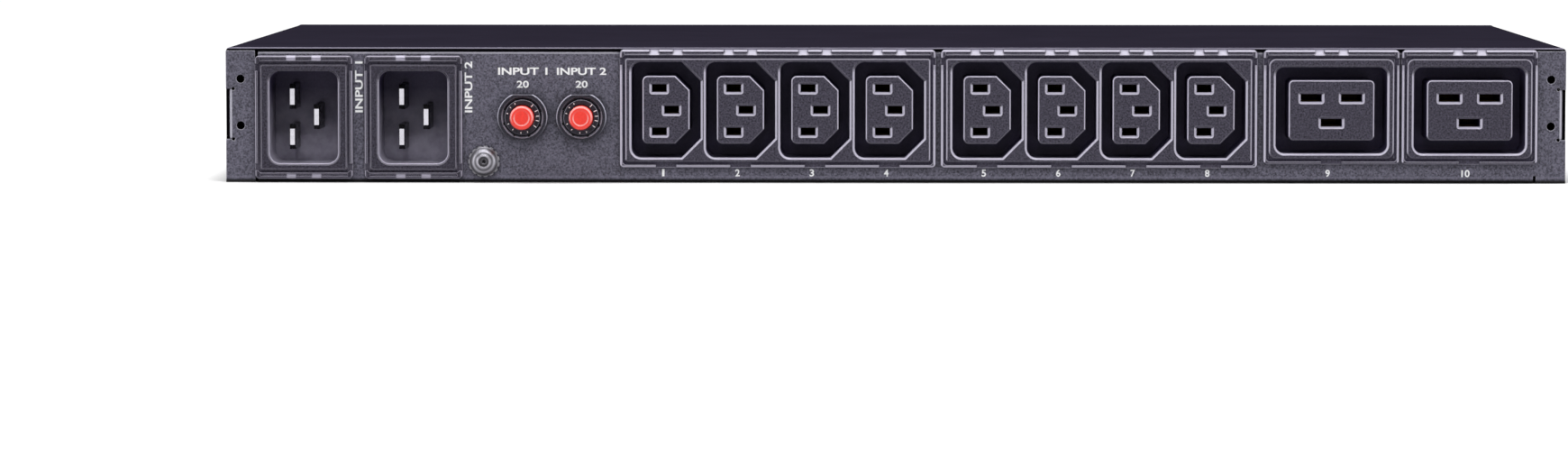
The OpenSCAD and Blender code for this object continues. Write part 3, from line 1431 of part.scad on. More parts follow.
module load_wires() placed([0.2, 0.2, 0.22]) {
    for (x = breaker_x, s = [-1, 1]) tab_wire(x, breaker_back + breaker_tab_l,
        breaker_z - s * breaker_tab_pitch / 2, x + s * terminal_pitch / 2, false);
    for (x = output_x) wire([[x, outlet_back + board_t, pole_z], [x, wire_end, pole_z]]);
    wire([
        [ground_x, lug_wire_y, lug_wire_z], [ground_x, lug_wire_y, lug_wire_z + 9],
        [ground_x, lug_wire_y + 6, lug_wire_z + 14],
        [earth_pole_x, terminal_y - 14, lug_wire_z + 14],
        [earth_pole_x, terminal_y - 4, pole_z], [earth_pole_x, wire_end, pole_z]
    ]);
}

module spacer(h) difference() {
    cylinder(d = spacer_d, h = h);
    bore(spacer_core_d, h);
}

module board_spacers() placed(metal) {
    for (p = power_fixings) translate([p[0], p[1], sheet]) spacer(power_lift);
    for (p = control_fixings) translate([p[0], p[1], sheet]) spacer(control_lift);
    for (p = display_fixings) translate([p[0], base_d - sheet - display_gap, p[1]]) forward()
        spacer(display_gap);
}

// A pan-head screw whose head sits on z = 0
module pan_screw(d, l) {
    cylinder(r = head_r, h = head_h);
    translate([0, 0, -l]) cylinder(d = d, h = l + over / 2);
}

module machine_screws() placed(metal) {
    d = spacer_core_d - 2 * screw_core_gap;
    for (p = power_fixings) translate([p[0], p[1], power_top]) pan_screw(d, board_t + screw_grip);
    for (p = control_fixings) translate([p[0], p[1], control_top]) pan_screw(d, board_t + screw_grip);
    for (p = display_fixings) translate([p[0], display_board_y, p[1]]) outward()
        pan_screw(d, board_t + display_gap);
    for (p = front_screws) translate([p[0], base_d - sheet, p[1]]) outward()
        pan_screw(cover_screw_d, sheet + front_t - 1);
}

base_chassis();
top_cover();
front_panel();
cover_screws();
cover_nuts();
ear_nuts();
inlet_housing_a();
inlet_housing_b();
inlet_pins_a();
inlet_pins_b();
outlet_bank_1();
outlet_bank_2();
bank_contacts_1();
bank_contacts_2();
bank_back_1();
bank_back_2();
large_outlet_1();
large_outlet_2();
large_contacts_1();
large_contacts_2();
large_back_1();
large_back_2();
outlet_board();
breaker_case_1();
breaker_case_2();
breaker_ring_nut_1();
breaker_ring_nut_2();
reset_button_1();
reset_button_2();
breaker_terminals();
ground_screw();
ground_washer();
ground_nut();
ground_lug();
display_window();
display_module();
display_board();
key_switches();
status_lights();
source_key_a();
source_key_b();
menu_key();
enter_key();
network_jack();
console_jack();
control_board();
control_chips();
ribbon_cable();
power_board();
thyristor_modules();
heat_sink();
relays();
filter_capacitors();
filter_chokes();
supply_transformers();
terminal_blocks();
input_wires();
load_wires();
board_spacers();
machine_screws();
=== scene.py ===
"""Rack static transfer switch: finishes, print, stage, lamps and camera."""

import json
import math

import bpy
from mathutils import Matrix, Vector


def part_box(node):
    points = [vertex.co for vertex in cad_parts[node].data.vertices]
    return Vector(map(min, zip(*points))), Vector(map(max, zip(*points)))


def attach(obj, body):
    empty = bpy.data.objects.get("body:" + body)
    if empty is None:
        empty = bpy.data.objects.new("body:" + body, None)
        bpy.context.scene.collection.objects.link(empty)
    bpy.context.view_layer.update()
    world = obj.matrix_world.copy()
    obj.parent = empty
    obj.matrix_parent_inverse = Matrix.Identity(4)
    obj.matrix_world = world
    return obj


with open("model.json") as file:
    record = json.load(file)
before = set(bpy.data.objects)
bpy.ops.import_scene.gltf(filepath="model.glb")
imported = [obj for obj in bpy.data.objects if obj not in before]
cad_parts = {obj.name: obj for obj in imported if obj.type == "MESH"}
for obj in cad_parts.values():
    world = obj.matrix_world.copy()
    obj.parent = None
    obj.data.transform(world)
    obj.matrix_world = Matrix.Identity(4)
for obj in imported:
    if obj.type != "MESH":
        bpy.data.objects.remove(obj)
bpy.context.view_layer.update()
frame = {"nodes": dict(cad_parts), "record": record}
nodes = frame["nodes"]

MM = 0.001
BODY = "housing"


# Places, all from the frame


def centre(node):
    low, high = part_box(node)
    return (low + high) / 2


WALL_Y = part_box("base_chassis")[0].y      # the outlet wall's outer face
FACE_Y = WALL_Y - 2 * MM                  # the flanges' outer faces
LIP_Z = 36 * MM                           # where the upper lips start
FOOT_Z = 6.6 * MM                         # the flanges' lower edges lie below this
LATCH_Z = centre("inlet_housing_a")[2]    # half-way between an inlet's lips
LATCH_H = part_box("inlet_housing_a")[1].z - LATCH_Z - 1.5 * MM   # from there to a lip
LATCH_X = 4.1 * MM                        # from an inlet's middle to a latch's middle
TOP_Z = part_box("top_cover")[1].z
SMALL_PITCH = 24.05 * MM
SMALL_X = [centre(bank).x + (i - 1.5) * SMALL_PITCH
           for bank in ("outlet_bank_1", "outlet_bank_2") for i in range(4)]
LARGE_X = [centre(outlet).x for outlet in ("large_outlet_1", "large_outlet_2")]
INLETS = [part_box("inlet_housing_a"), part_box("inlet_housing_b")]
BREAKERS = [centre("breaker_ring_nut_1"), centre("breaker_ring_nut_2")]


# Materials


def srgb(red, green, blue):
    """The linear colour, with alpha, of a colour written from 0 to 255."""
    def linear(value):
        value /= 255
        return value / 12.92 if value <= 0.04045 else ((value + 0.055) / 1.055) ** 2.4
    return (linear(red), linear(green), linear(blue), 1.0)


DARK = (0, 0, 0, 1)
PANEL = srgb(88, 86, 99)
COVER = srgb(37, 34, 45)
BLACK = srgb(61, 58, 70)
INLET = srgb(52, 49, 60)
# The dark violet that painted shade falls towards in moulded corners and holes
SHADE_VIOLET = srgb(34, 26, 58)
STEEL = srgb(158, 157, 163)
# Painted shade: a cooler cast inside a hollow
SHADE_CAST_GAINS = (1.35, 1.2, 1.8)   # gains of red, green and blue inside a hollow


def times(colour, factor):
    """The colour with each channel multiplied, and no brighter than white."""
    return tuple(min(channel * factor, 1.0) for channel in colour[:3]) + (1.0,)


def rubbed(colour, gain):
    """The colour of a painted highlight or painted light: lighter by the gain, and half as
    strong a tint.
    """
    grey = sum(colour[:3]) / 3
    return times([(part + grey) / 2 for part in colour[:3]], gain)


class Finish:
    """One material's node tree, built around its Principled shader."""

    def __init__(self, name, roughness, metallic=0.0, specular=0.5):
        self.material = bpy.data.materials.new(name)
        self.material.use_nodes = True
        self.tree = self.material.node_tree
        self.shader = self.tree.nodes["Principled BSDF"]
        self.place = self.add("ShaderNodeTexCoord").outputs["Object"]
        self.set("Roughness", roughness)
        self.set("Metallic", metallic)
        self.set("Specular IOR Level", specular)

    def feed(self, socket, value):
        if isinstance(value, bpy.types.NodeSocket):
            self.tree.links.new(value, socket)
        else:
            socket.default_value = value

    def set(self, socket, value):
        self.feed(self.shader.inputs[socket], value)

    def add(self, kind, inputs=(), **settings):
        node = self.tree.nodes.new(kind)
        for key, value in settings.items():
            setattr(node, key, value)
        for key, value in dict(inputs).items():
            self.feed(node.inputs[key], value)
        return node

    def noise(self, grain, detail=2.0, spread=0.22, stretch=(1, 1, 1)):
        """Noise from 0 to 1 whose lumps are about grain metres across."""
        place = self.place
        if stretch != (1, 1, 1):
            place = self.add("ShaderNodeMapping", {"Vector": place, "Scale": stretch}).outputs[0]
        texture = self.add("ShaderNodeTexNoise", {
            "Vector": place, "Scale": 1 / grain, "Detail": detail, "Roughness": 0.6})
        return self.remap(texture.outputs["Fac"], 0.5 - spread, 0.5 + spread, 0.0, 1.0)

    def remap(self, value, low, high, to_low, to_high):
        return self.add("ShaderNodeMapRange", {
            "Value": value, "From Min": low, "From Max": high,
            "To Min": to_low, "To Max": to_high}).outputs["Result"]

    def mix(self, share, first, second):
        node = self.add("ShaderNodeMix", data_type="RGBA")
        self.feed(node.inputs["Factor"], share)
        for socket, value in zip([s for s in node.inputs if s.type == "RGBA"], (first, second)):
            self.feed(socket, value)
        return [s for s in node.outputs if s.type == "RGBA"][0]

    def mix_number(self, share, first, second):
        return self.remap(share, 0.0, 1.0, first, second)

    def product(self, first, second):
        return self.math("MULTIPLY", first, second)

    def size(self, value):
        return self.math("ABSOLUTE", value, 0.0)

    def math(self, operation, first, second):
        node = self.add("ShaderNodeMath", operation=operation)
        self.feed(node.inputs[0], first)
        self.feed(node.inputs[1], second)
        return node.outputs[0]

    def edges(self, radius, sharpness=0.12):
        """From 0 on flat faces to 1 within radius of an edge, and the rounded edge's normal."""
        rounded = self.add("ShaderNodeBevel", {"Radius": radius}, samples=8).outputs["Normal"]
        flat = self.add("ShaderNodeNewGeometry").outputs["Normal"]
        dot = self.add("ShaderNodeVectorMath", {0: rounded, 1: flat}, operation="DOT_PRODUCT")
        return self.remap(dot.outputs["Value"], 1.0, 1.0 - sharpness, 0.0, 1.0), rounded

    def split(self, vector):
        return self.add("ShaderNodeSeparateXYZ", {0: vector}).outputs

    def polish(self, radius, reach=1.2 * MM, face_y=None, foot_z=None):
        """The mask of painted highlights: 1 on bevels and outer edges, less where they look down
        away from the light, and 0 on flat faces and in inner corners; and the normal of the
        rounded edges.
        With face_y, the outer half of the bevels behind that plane stays plain. Below foot_z,
        edges that look down get painted highlights too."""
        edge, rounded = self.edges(radius, 0.06)
        outward = self.size(self.split(self.plain_normal())[1])
        bevel = self.product(self.remap(outward, 0.3, 0.5, 0.0, 1.0),
                             self.remap(outward, 0.97, 0.9, 0.0, 1.0))
        if face_y is not None:
            bevel = self.product(bevel, self.remap(
                self.split(self.place)[1], face_y + 0.2 * MM, face_y + 0.4 * MM, 0.1, 1.0))
        edge = self.math("MAXIMUM", edge, bevel)
        down = self.remap(self.split(rounded)[2], -0.3, 0.0, 0.08, 1.0)
        if foot_z is not None:
            foot = self.remap(self.split(self.place)[2], foot_z, foot_z - 0.4 * MM, 0.0, 0.7)
            down = self.math("MAXIMUM", down, foot)
        edge = self.product(edge, down)
        near = self.add("ShaderNodeAmbientOcclusion", {"Distance": reach}, samples=6)
        outer = self.remap(near.outputs["AO"], 0.6, 0.85, 0.0, 1.0)
        return self.product(edge, outer), rounded

    def plain_normal(self):
        return self.add("ShaderNodeNewGeometry").outputs["True Normal"]

    def shade(self, reach, darkest):
        """Painted shade: from darkest in corners and holes to 1 in the open, over a reach in
        metres.
        """
        node = self.add("ShaderNodeAmbientOcclusion", {"Distance": reach}, samples=8)
        return self.remap(node.outputs["AO"], 0.15, 0.85, darkest, 1.0)

    def bump(self, height, depth, under=None):
        node = self.add("ShaderNodeBump", {"Height": height, "Distance": depth, "Strength": 1.0})
        if under is not None:
            self.feed(node.inputs["Normal"], under)
        self.set("Normal", node.outputs["Normal"])
        return node.outputs["Normal"]


def powder_coat(name, colour, grain=0.55 * MM):
    """Textured powder paint: a fine sandy grain over a soft orange peel, with painted highlights
    along edges and painted shade underneath and in corners."""
    finish = Finish(name, 0.5, specular=0.2)
    speck = finish.noise(grain, 2.0, 0.18)
    patch = finish.noise(14 * MM, 3.0)
    edge, rounded = finish.polish(0.35 * MM)
    body = finish.mix(speck, times(colour, 0.3), times(colour, 1.8))
    body = finish.mix(finish.remap(patch, 0, 1, 0.0, 0.22), body, times(colour, 1.25))
    # Painted highlights on the edges
    body = finish.mix(finish.product(edge, 0.85), body, rubbed(colour, 5.6))
    # A painted highlight along the sheet's lower bend, a painted shadow at the foot below it,
    # and painted shade in corners
    height = finish.split(finish.place)[2]
    flat = finish.size(finish.split(finish.plain_normal())[2])
    bend_highlight = finish.product(finish.remap(height, 1.3 * MM, 1.7 * MM, 0.0, 1.0),
                          finish.remap(height, 2.4 * MM, 2.0 * MM, 0.0, 1.0))
    bend_highlight = finish.product(bend_highlight, finish.remap(flat, 0.2, 0.1, 0.0, 0.35))
    body = finish.mix(bend_highlight, body, times(colour, 2.4))
    foot = finish.math("MAXIMUM", finish.remap(flat, 0.85, 0.95, 0.0, 1.0),
                       finish.remap(height, 0.7 * MM, 1.3 * MM, 0.05, 1.0))
    bright = finish.product(foot, finish.shade(3 * MM, 0.3))
    finish.set("Base Color", finish.mix(bright, DARK, body))
    finish.set("Roughness", finish.mix_number(edge, 0.55, 0.3))
    peel = finish.bump(finish.noise(2.2 * MM, 1.0), 0.03 * MM, rounded)
    finish.bump(speck, 0.05 * MM, peel)
    return finish.material


def smooth_paint(name, colour):
    """Smooth matt paint with a faint orange peel, and painted highlights on its edges. On the
    sheet's cut edge, which looks out over the outlet wall, a painted highlight lies above and
    painted shade below."""
    finish = Finish(name, 0.7, specular=0.0)
    patch = finish.noise(30 * MM, 3.0)
    body = finish.mix(patch, times(colour, 0.92), times(colour, 1.1))
    # Painted highlights on the edges, and on the upper part of the cut edge
    edge, rounded = finish.edges(0.3 * MM)
    cut = finish.remap(finish.split(finish.plain_normal())[1], -0.8, -0.95, 0.0, 1.0)
    upper = finish.remap(finish.split(finish.place)[2], TOP_Z - 0.5 * MM, TOP_Z - 0.35 * MM,
                         0.0, 1.0)
    edge = finish.math("MAXIMUM", edge, finish.product(cut, upper))
    body = finish.mix(finish.product(edge, 0.85), body, rubbed(colour, 20.0))
    # Painted shade on the cut edge's lower part
    under = finish.product(cut, finish.math("SUBTRACT", 1.0, upper))
    finish.set("Base Color", finish.mix(under, body, times(colour, 0.1)))
    finish.set("Roughness", finish.mix_number(edge, 0.7, 0.35))
    finish.bump(finish.noise(1.6 * MM, 1.0), 0.008 * MM, rounded)
    return finish.material


def moulded(name, colour, roughness=0.42, edge_gain=3.0, darkest_shade=0.3, mottle=(0.3, 1.85),
            hollow=None, latch_x=None, shade_colour=DARK):
    """Spark-eroded moulded plastic: fine grain, a little sheen, and painted highlights on its
    edges. Mottle holds the grain's darkest and lightest gain. Corners and holes fall off in
    painted shade to the darkest share, towards the shade colour. A hollow is behind the outlet
    wall, in a painted cooler cast of shade, with painted light growing towards its foot: its
    lowest height, the height where that light ends, and its gain. With latch_x, the lips above
    and below that place have painted glints where two latches are."""
    finish = Finish(name, roughness, specular=0.15)
    speck = finish.noise(0.55 * MM, 2.0, 0.18)
    patch = finish.noise(9 * MM, 2.0)
    if latch_x is None:
        edge, rounded = finish.polish(0.3 * MM, foot_z=FOOT_Z)
    else:
        edge, rounded = finish.polish(0.22 * MM, face_y=FACE_Y, foot_z=FOOT_Z)
    across, inward, height = finish.split(finish.place)
    calm = finish.remap(height, LIP_Z, LIP_Z + 1 * MM, 1.0, 0.7)
    edge = finish.product(edge, calm)
    # Painted glints on the lips where the two latches are
    if latch_x is not None:
        side = finish.size(finish.math("SUBTRACT", across, latch_x))
        spot = finish.size(finish.math("SUBTRACT", side, LATCH_X))
        level = finish.size(finish.math("SUBTRACT", height, LATCH_Z))
        latch_glint = finish.product(finish.remap(spot, 1.7 * MM, 1.3 * MM, 0.0, 0.9),
                             finish.remap(level, LATCH_H - 0.3 * MM, LATCH_H, 0.0, 1.0))
        edge = finish.math("MAXIMUM", edge, latch_glint)
    body = finish.mix(speck, times(colour, mottle[0]), times(colour, mottle[1]))
    body = finish.mix(finish.remap(patch, 0, 1, 0.0, 0.2), body, times(colour, 1.2))
    # Painted highlights on the edges
    body = finish.mix(finish.product(edge, 0.9), body, rubbed(colour, edge_gain))
    if hollow:
        foot, light_end, light_gain = hollow
        low = finish.remap(height, light_end, foot, 0.0, 0.9)
        inside = finish.remap(inward, WALL_Y - 1 * MM, WALL_Y, 0.0, 1.0)
        # A painted cooler cast of shade inside the hollow
        shade_cast = [part * gain for part, gain in zip(colour, SHADE_CAST_GAINS)]
        body = finish.mix(finish.product(inside, 0.8), body, (*shade_cast, 1))
        # Painted light, lighter towards the hollow's foot
        cloud = finish.remap(finish.noise(5 * MM, 3.0), 0, 1, 0.55, 1.0)
        dust_and_painted_light = finish.product(finish.product(low, inside), cloud)
        body = finish.mix(dust_and_painted_light, body, rubbed(colour, light_gain))
    # Painted shade in corners and holes, towards the shade colour
    finish.set("Base Color", finish.mix(finish.shade(5 * MM, darkest_shade), shade_colour, body))
    finish.set("Roughness", finish.mix_number(edge, roughness, roughness * 0.5))
    finish.bump(speck, 0.02 * MM, rounded)
    return finish.material


def plated(name, colour, roughness=0.28, stretch=(1, 1, 1), darkest_shade=0.35, shaded_sides=False):
    """Plated metal with fine streaks and small stains, and painted shade where it is enclosed.
    With shaded sides, only the faces that look out along Y stay bright; the rest is painted
    shade."""
    finish = Finish(name, roughness, metallic=1.0)
    streak = finish.noise(0.25 * MM, 2.0, stretch=stretch)
    stain = finish.noise(2.5 * MM, 3.0)
    body = finish.mix(finish.remap(stain, 0, 1, 0.0, 0.35), colour, times(colour, 0.6))
    # Painted shade where the metal is enclosed, and on the sides when they are shaded
    bright = finish.shade(6 * MM, darkest_shade)
    if shaded_sides:
        outward = finish.size(finish.split(finish.plain_normal())[1])
        bright = finish.product(bright, finish.remap(outward, 0.8, 0.97, 0.06, 1.0))
    finish.set("Base Color", finish.mix(bright, DARK, body))
    finish.set("Roughness", finish.remap(streak, 0, 1, roughness - 0.06, roughness + 0.14))
    finish.bump(streak, 0.004 * MM)
    return finish.material


def turned_head(name, colour, middle):
    """A plated screw head, turned in rings around its axis through the point in the middle."""
    finish = Finish(name, 0.34, metallic=1.0)
    place = finish.add("ShaderNodeVectorMath", {0: finish.place, 1: tuple(middle)},
                       operation="SUBTRACT").outputs[0]
    period = 1.5 * MM
    unit_period = math.tau / 20         # the wave texture's period at a scale of 1
    rings = finish.add("ShaderNodeTexWave", {
        "Vector": place, "Scale": unit_period / period, "Distortion": 0.0,
        "Phase Offset": 1.2}, wave_type="RINGS", rings_direction="Y").outputs["Fac"]
    stain = finish.noise(1.5 * MM, 3.0)
    body = finish.mix(rings, times(colour, 0.22), colour)
    body = finish.mix(finish.remap(stain, 0, 1, 0.0, 0.3), body, times(colour, 0.6))
    # Painted shade in the corners around the head
    finish.set("Base Color", finish.mix(finish.shade(2.5 * MM, 0.1), DARK, body))
    finish.bump(rings, 0.06 * MM)
    return finish.material


def circuit_board(name, colour):
    """Solder mask with faint tracks."""
    finish = Finish(name, 0.35)
    brick = finish.add("ShaderNodeTexBrick", {
        "Vector": finish.place, "Scale": 1 / (9 * MM), "Color1": times(colour, 0.9),
        "Color2": colour, "Mortar": times(colour, 1.8), "Mortar Size": 0.03})
    finish.set("Base Color", brick.outputs["Color"])
    finish.bump(brick.outputs["Fac"], 0.03 * MM)
    return finish.material


def lamp_plastic(name, colour):
    """Clear diffusing plastic of an unlit indicator."""
    finish = Finish(name, 0.3)
    cloud = finish.noise(0.8 * MM, 2.0)
    finish.set("Base Color", finish.mix(cloud, times(colour, 0.8), colour))
    finish.set("Subsurface Weight", 0.3)
    finish.set("Subsurface Scale", 1.0 * MM)
    return finish.material


def smoked_window(name, colour):
    """A dark polished window with a faint dusty film."""
    finish = Finish(name, 0.08, specular=0.25)
    dust_and_painted_light = finish.noise(3 * MM, 4.0)
    dusty = (0.2, 0.2, 0.22, 1)
    finish.set("Base Color", finish.mix(finish.remap(dust_and_painted_light, 0, 1, 0.0, 0.12), colour, dusty))
    finish.set("Roughness", finish.remap(dust_and_painted_light, 0, 1, 0.06, 0.16))
    finish.set("Coat Weight", 0.2)
    return finish.material


def print_ink(name, colour):
    """Screen-printed ink, slightly broken by the paint's grain below it."""
    finish = Finish(name, 0.55)
    wear = finish.noise(0.3 * MM, 2.0)
    finish.set("Base Color", finish.mix(finish.remap(wear, 0, 1, 0.0, 0.3), colour,
                                        times(colour, 0.7)))
    finish.bump(wear, 0.01 * MM)
    return finish.material


materials = {
    "panel_paint": powder_coat("panel_paint", PANEL),
    "cover_paint": smooth_paint("cover_paint", COVER),
    "black_plastic": moulded("black_plastic", BLACK, edge_gain=14.0,
                             hollow=(5.5 * MM, 11 * MM, 2.4), shade_colour=SHADE_VIOLET),
    "blade_metal": plated("blade_metal", srgb(196, 194, 202), 0.24, (1, 1, 0.2), 0.1,
                          shaded_sides=True),
    "zinc": plated("zinc", STEEL, 0.34),
    "brass": plated("brass", srgb(150, 122, 66), 0.42, darkest_shade=0.02),
    "red_plastic": moulded("red_plastic", srgb(255, 72, 62), 0.35, 2.0, 1.0, (0.88, 1.0)),
    "key_plastic": moulded("key_plastic", srgb(150, 150, 156), 0.5, 1.5, mottle=(0.8, 1.2)),
    "window": smoked_window("window", srgb(14, 16, 20)),
    "lamp_plastic": lamp_plastic("lamp_plastic", srgb(206, 214, 204)),
    "board": circuit_board("board", srgb(24, 82, 50)),
    "part_black": moulded("part_black", srgb(40, 40, 43), 0.6, 6.0),
    "terminal_green": moulded("terminal_green", srgb(62, 108, 74), 0.5),
    "sink_alloy": plated("sink_alloy", srgb(170, 172, 176), 0.4, (1, 0.1, 1)),
    "copper": plated("copper", srgb(196, 118, 70), 0.3),
    "core_steel": plated("core_steel", srgb(92, 86, 82), 0.5),
    "wire_cover": moulded("wire_cover", srgb(46, 46, 50), 0.5, 5.0),
    "ribbon": moulded("ribbon", srgb(150, 152, 156), 0.5, 1.5, mottle=(0.8, 1.2)),
}
ink = print_ink("ink", srgb(250, 250, 252))
ring_plastic = moulded("ring_plastic", srgb(38, 37, 46), 0.4, 24.0)

for part in frame["record"]["subparts"]:
    node = nodes[part["node"]]
    node.data.materials.clear()
    node.data.materials.append(materials[part["material_slot"]])
nodes["ground_screw"].data.materials[0] = turned_head(
    "screw_head", srgb(152, 150, 158), centre("ground_screw"))
for name in ("inlet_housing_a", "inlet_housing_b"):
    nodes[name].data.materials[0] = moulded(
        name, INLET, edge_gain=17.0, darkest_shade=0.6, hollow=(9 * MM, 30 * MM, 16.0),
        latch_x=centre(name)[0], shade_colour=SHADE_VIOLET)
for name in ("breaker_ring_nut_1", "breaker_ring_nut_2", "breaker_case_1", "breaker_case_2"):
    nodes[name].data.materials[0] = ring_plastic


# Print

STROKE_OFFSET = 0.025       # makes the strokes bolder, as a share of the text's size
INK_THICKNESS = 0.04 * MM


def print_words(name, words, x, z, width, height, upright=False):
    """Raised ink on the outlet wall, filling a box of that width and height around (x, z).
    Upright words run up the wall, their tops towards -X."""
    curve = bpy.data.curves.new(name, "FONT")
    curve.body = words
    curve.offset = STROKE_OFFSET
    curve.extrude = 0.01
    text = bpy.data.objects.new(name, curve)
    mesh = bpy.data.meshes.new_from_object(text)
    mesh.name = name
    bpy.data.objects.remove(text)
    low = [min(v.co[i] for v in mesh.vertices) for i in range(3)]
    high = [max(v.co[i] for v in mesh.vertices) for i in range(3)]
    size = (width, height, INK_THICKNESS)
    scale = [size[i] / (high[i] - low[i]) for i in range(3)]
    mesh.transform(Matrix.Translation([-(low[i] + high[i]) / 2 for i in range(3)]))
    mesh.transform(Matrix.Diagonal((*scale, 1)))
    if upright:
        mesh.transform(Matrix.Rotation(math.radians(90), 4, "Z"))
    mesh.transform(Matrix.Rotation(math.radians(90), 4, "X"))
    mesh.transform(Matrix.Translation((x, WALL_Y - INK_THICKNESS / 2, z)))
    mesh.materials.append(ink)
    obj = bpy.data.objects.new(name, mesh)
    bpy.context.collection.objects.link(obj)
    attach(obj, BODY)


NUMBER_Z = 3.2 * MM
NUMBER_H = 2.35 * MM
NUMBER_SHIFT = -1.0 * MM
NUMBER_W = 1.45 * MM
ODD_WIDTHS = {1: 0.8 * MM, 10: 2.7 * MM}
for i, x in enumerate(SMALL_X + LARGE_X, start=1):
    print_words(f"number_{i}", str(i), x + NUMBER_SHIFT, NUMBER_Z,
                ODD_WIDTHS.get(i, NUMBER_W), NUMBER_H)

for i, (low, high) in enumerate(INLETS, start=1):
    print_words(f"inlet_label_{i}", f"INPUT {i}", high.x + 1.95 * MM, high.z - 10.2 * MM,
                16.5 * MM, 2.5 * MM, upright=True)
for i, place in enumerate(BREAKERS, start=1):
    print_words(f"breaker_label_{i}", f"INPUT {i}", place.x, place.z + 14.8 * MM,
                16.0 * MM, 2.4 * MM)
    print_words(f"breaker_rating_{i}", "20", place.x, place.z + 10.6 * MM, 3.9 * MM, 2.3 * MM)


def bar(verts, faces, middle, along, half, thickness):
    """Adds a thin bar around middle on a face that looks towards -Y. Half holds half its
    length and half its width."""
    across = Vector((-along.z, 0, along.x))
    start = len(verts)
    for depth in (0, -thickness):
        for a, b in ((-1, -1), (1, -1), (1, 1), (-1, 1)):
            spot = middle + along * (a * half[0]) + across * (b * half[1])
            verts.append((spot.x, spot.y + depth, spot.z))
    for face in ((4, 5, 6, 7), (3, 2, 1, 0),
                 (0, 1, 5, 4), (1, 2, 6, 5), (2, 3, 7, 6), (3, 0, 4, 7)):
        faces.append([start + corner for corner in face])


# Each mark's angle around the button, and its length in millimetres
MARKS = [(turn, 1.05) for turn in (50, 25, 5, -12, -35)] + [
    (turn, 0.5) for turn in (-70, -95, 118, 140, 165, 205, 232)]
MARKS_RADIUS = 4.98 * MM
MARK_HALF_WIDTH = 0.13 * MM
MARK_THICKNESS = 0.03 * MM


def breaker_marks(name, place):
    """The pale marks on the end of a breaker's neck, around its button."""
    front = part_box("breaker_case_1")[0].y
    verts = []
    faces = []
    for degrees, reach in MARKS:
        angle = math.radians(degrees)
        along = Vector((math.cos(angle), 0, math.sin(angle)))
        middle = Vector((place.x, front, place.z)) + along * MARKS_RADIUS
        bar(verts, faces, middle, along, (reach / 2 * MM, MARK_HALF_WIDTH), MARK_THICKNESS)
    mesh = bpy.data.meshes.new(name)
    mesh.from_pydata(verts, [], faces)
    mesh.materials.append(ink)
    obj = bpy.data.objects.new(name, mesh)
    bpy.context.collection.objects.link(obj)
    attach(obj, BODY)


for i, place in enumerate(BREAKERS, start=1):
    breaker_marks(f"breaker_marks_{i}", place)


# Stage

SHADOW_REACH = 28 * MM


def seen_directly(tree):
    """1 where the camera, a mirror or glass looks at it, and 0 where it lights the object."""
    path = tree.nodes.new("ShaderNodeLightPath")
    total = path.outputs["Is Camera Ray"]
    for ray in ("Is Glossy Ray", "Is Transmission Ray"):
        either = tree.nodes.new("ShaderNodeMath")
        either.operation = "MAXIMUM"
        tree.links.new(total, either.inputs[0])
        tree.links.new(path.outputs[ray], either.inputs[1])
        total = either.outputs[0]
    return total


def stage_floor(glow_level):
    """A pale floor that the camera sees as white, with the object's own shadow on it. Its
    glow fades close to the object in a painted shadow, where the real shadow is darkest."""
    size = 12.0
    mesh = bpy.data.meshes.new("floor")
    mesh.from_pydata([(-size, -size, 0), (size, -size, 0), (size, size, 0), (-size, size, 0)],
                     [], [(0, 1, 2, 3)])
    floor = bpy.data.objects.new("floor", mesh)
    bpy.context.collection.objects.link(floor)
    material = bpy.data.materials.new("floor")
    material.use_nodes = True
    tree = material.node_tree
    tree.nodes.clear()
    surface = tree.nodes.new("ShaderNodeOutputMaterial").inputs["Surface"]
    diffuse = tree.nodes.new("ShaderNodeBsdfDiffuse")
    diffuse.inputs["Color"].default_value = (0.6, 0.6, 0.6, 1)
    glow = tree.nodes.new("ShaderNodeEmission")
    # Painted contact shadow: the glow dims where the object is near
    near = tree.nodes.new("ShaderNodeAmbientOcclusion")
    near.inputs["Distance"].default_value = SHADOW_REACH
    outside_painted_shadow = tree.nodes.new("ShaderNodeMapRange")
    tree.links.new(near.outputs["AO"], outside_painted_shadow.inputs["Value"])
    outside_painted_shadow.inputs["From Min"].default_value = 0.45
    outside_painted_shadow.inputs["From Max"].default_value = 0.9
    strength = tree.nodes.new("ShaderNodeMath")
    strength.operation = "MULTIPLY"
    tree.links.new(seen_directly(tree), strength.inputs[0])
    tree.links.new(outside_painted_shadow.outputs["Result"], strength.inputs[1])
    tree.links.new(strength.outputs[0], glow.inputs["Strength"])
    glow.inputs["Color"].default_value = (glow_level, glow_level, glow_level, 1)
    both = tree.nodes.new("ShaderNodeAddShader")
    tree.links.new(diffuse.outputs[0], both.inputs[0])
    tree.links.new(glow.outputs[0], both.inputs[1])
    tree.links.new(both.outputs[0], surface)
    mesh.materials.append(material)


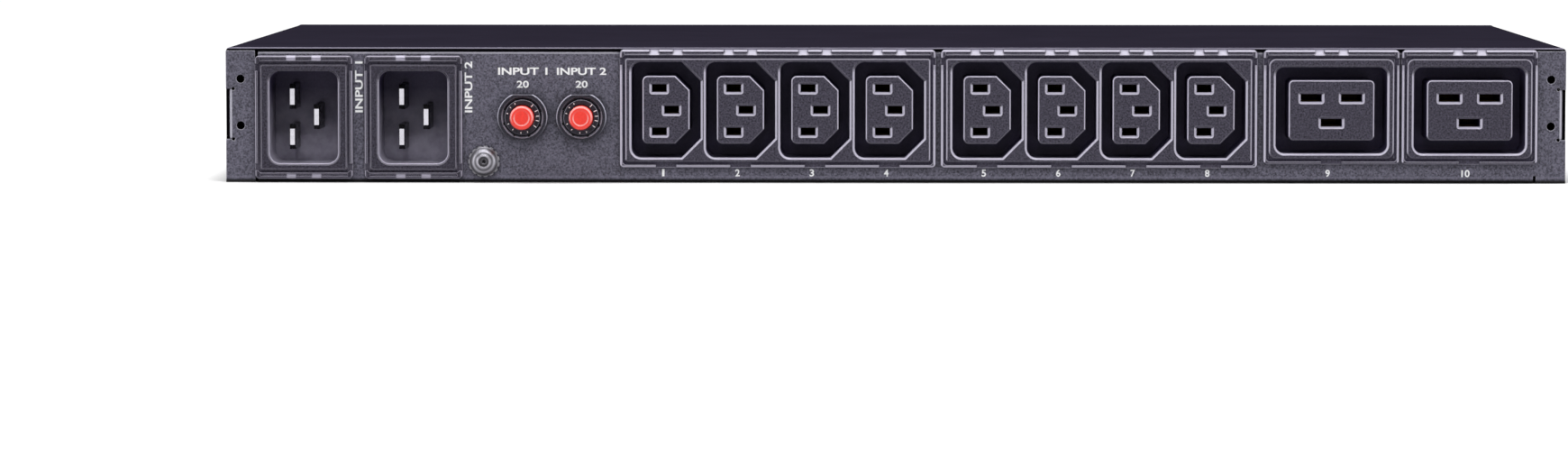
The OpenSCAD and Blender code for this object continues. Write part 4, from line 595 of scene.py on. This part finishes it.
def stage_world(strength):
    """White to the camera and to reflections, and a plain soft light otherwise."""
    world = bpy.data.worlds.new("world")
    bpy.context.scene.world = world
    world.use_nodes = True
    tree = world.node_tree
    sky = tree.nodes["Background"]
    level = tree.nodes.new("ShaderNodeMapRange")
    tree.links.new(seen_directly(tree), level.inputs["Value"])
    level.inputs["To Min"].default_value = strength
    level.inputs["To Max"].default_value = 1.0
    tree.links.new(level.outputs["Result"], sky.inputs["Strength"])
    sky.inputs["Color"].default_value = (1, 1, 1, 1)


def lamp(name, place, target, size, watts):
    """A soft rectangular lamp that looks at its target."""
    light = bpy.data.lights.new(name, "AREA")
    light.shape = "RECTANGLE"
    light.size, light.size_y = size
    light.energy = watts
    obj = bpy.data.objects.new(name, light)
    obj.location = place
    obj.rotation_euler = (Vector(target) - Vector(place)).to_track_quat("-Z", "Y").to_euler()
    bpy.context.collection.objects.link(obj)


stage_floor(0.82)
stage_world(0.3)
MIDDLE = (0.0, -0.1, 0.03)
SIDE_WATTS = 3.0
lamp("overhead", (0.0, -0.12, 1.0), (0.0, -0.12, 0.03), (1.7, 0.12), 12)
lamp("front_strip", (0.0, -1.15, 1.26), MIDDLE, (1.6, 0.08), 10)
lamp("left_strip", (-1.3, -1.0, 0.3), MIDDLE, (0.08, 0.9), SIDE_WATTS)
lamp("right_strip", (1.3, -1.0, 0.3), MIDDLE, (0.08, 0.9), SIDE_WATTS)


# Camera

CAMERA = Vector((0.0004, -1.976, 0.1111))
PAN = math.radians(1.109)
TILT = math.radians(3.834)
FRAME_PX = 1740
FOCAL_PX = 6405.0           # in pixels of a frame that is FRAME_PX wide

camera_data = bpy.data.cameras.new("camera")
camera_data.sensor_width = 36
camera_data.lens = FOCAL_PX * camera_data.sensor_width / FRAME_PX
camera_data.clip_start = 0.05
camera_data.clip_end = 100
camera = bpy.data.objects.new("camera", camera_data)
camera.location = CAMERA
camera.rotation_euler = (math.radians(90) - TILT, 0, PAN)
bpy.context.collection.objects.link(camera)
bpy.context.scene.camera = camera

bpy.context.scene.view_settings.view_transform = "Standard"
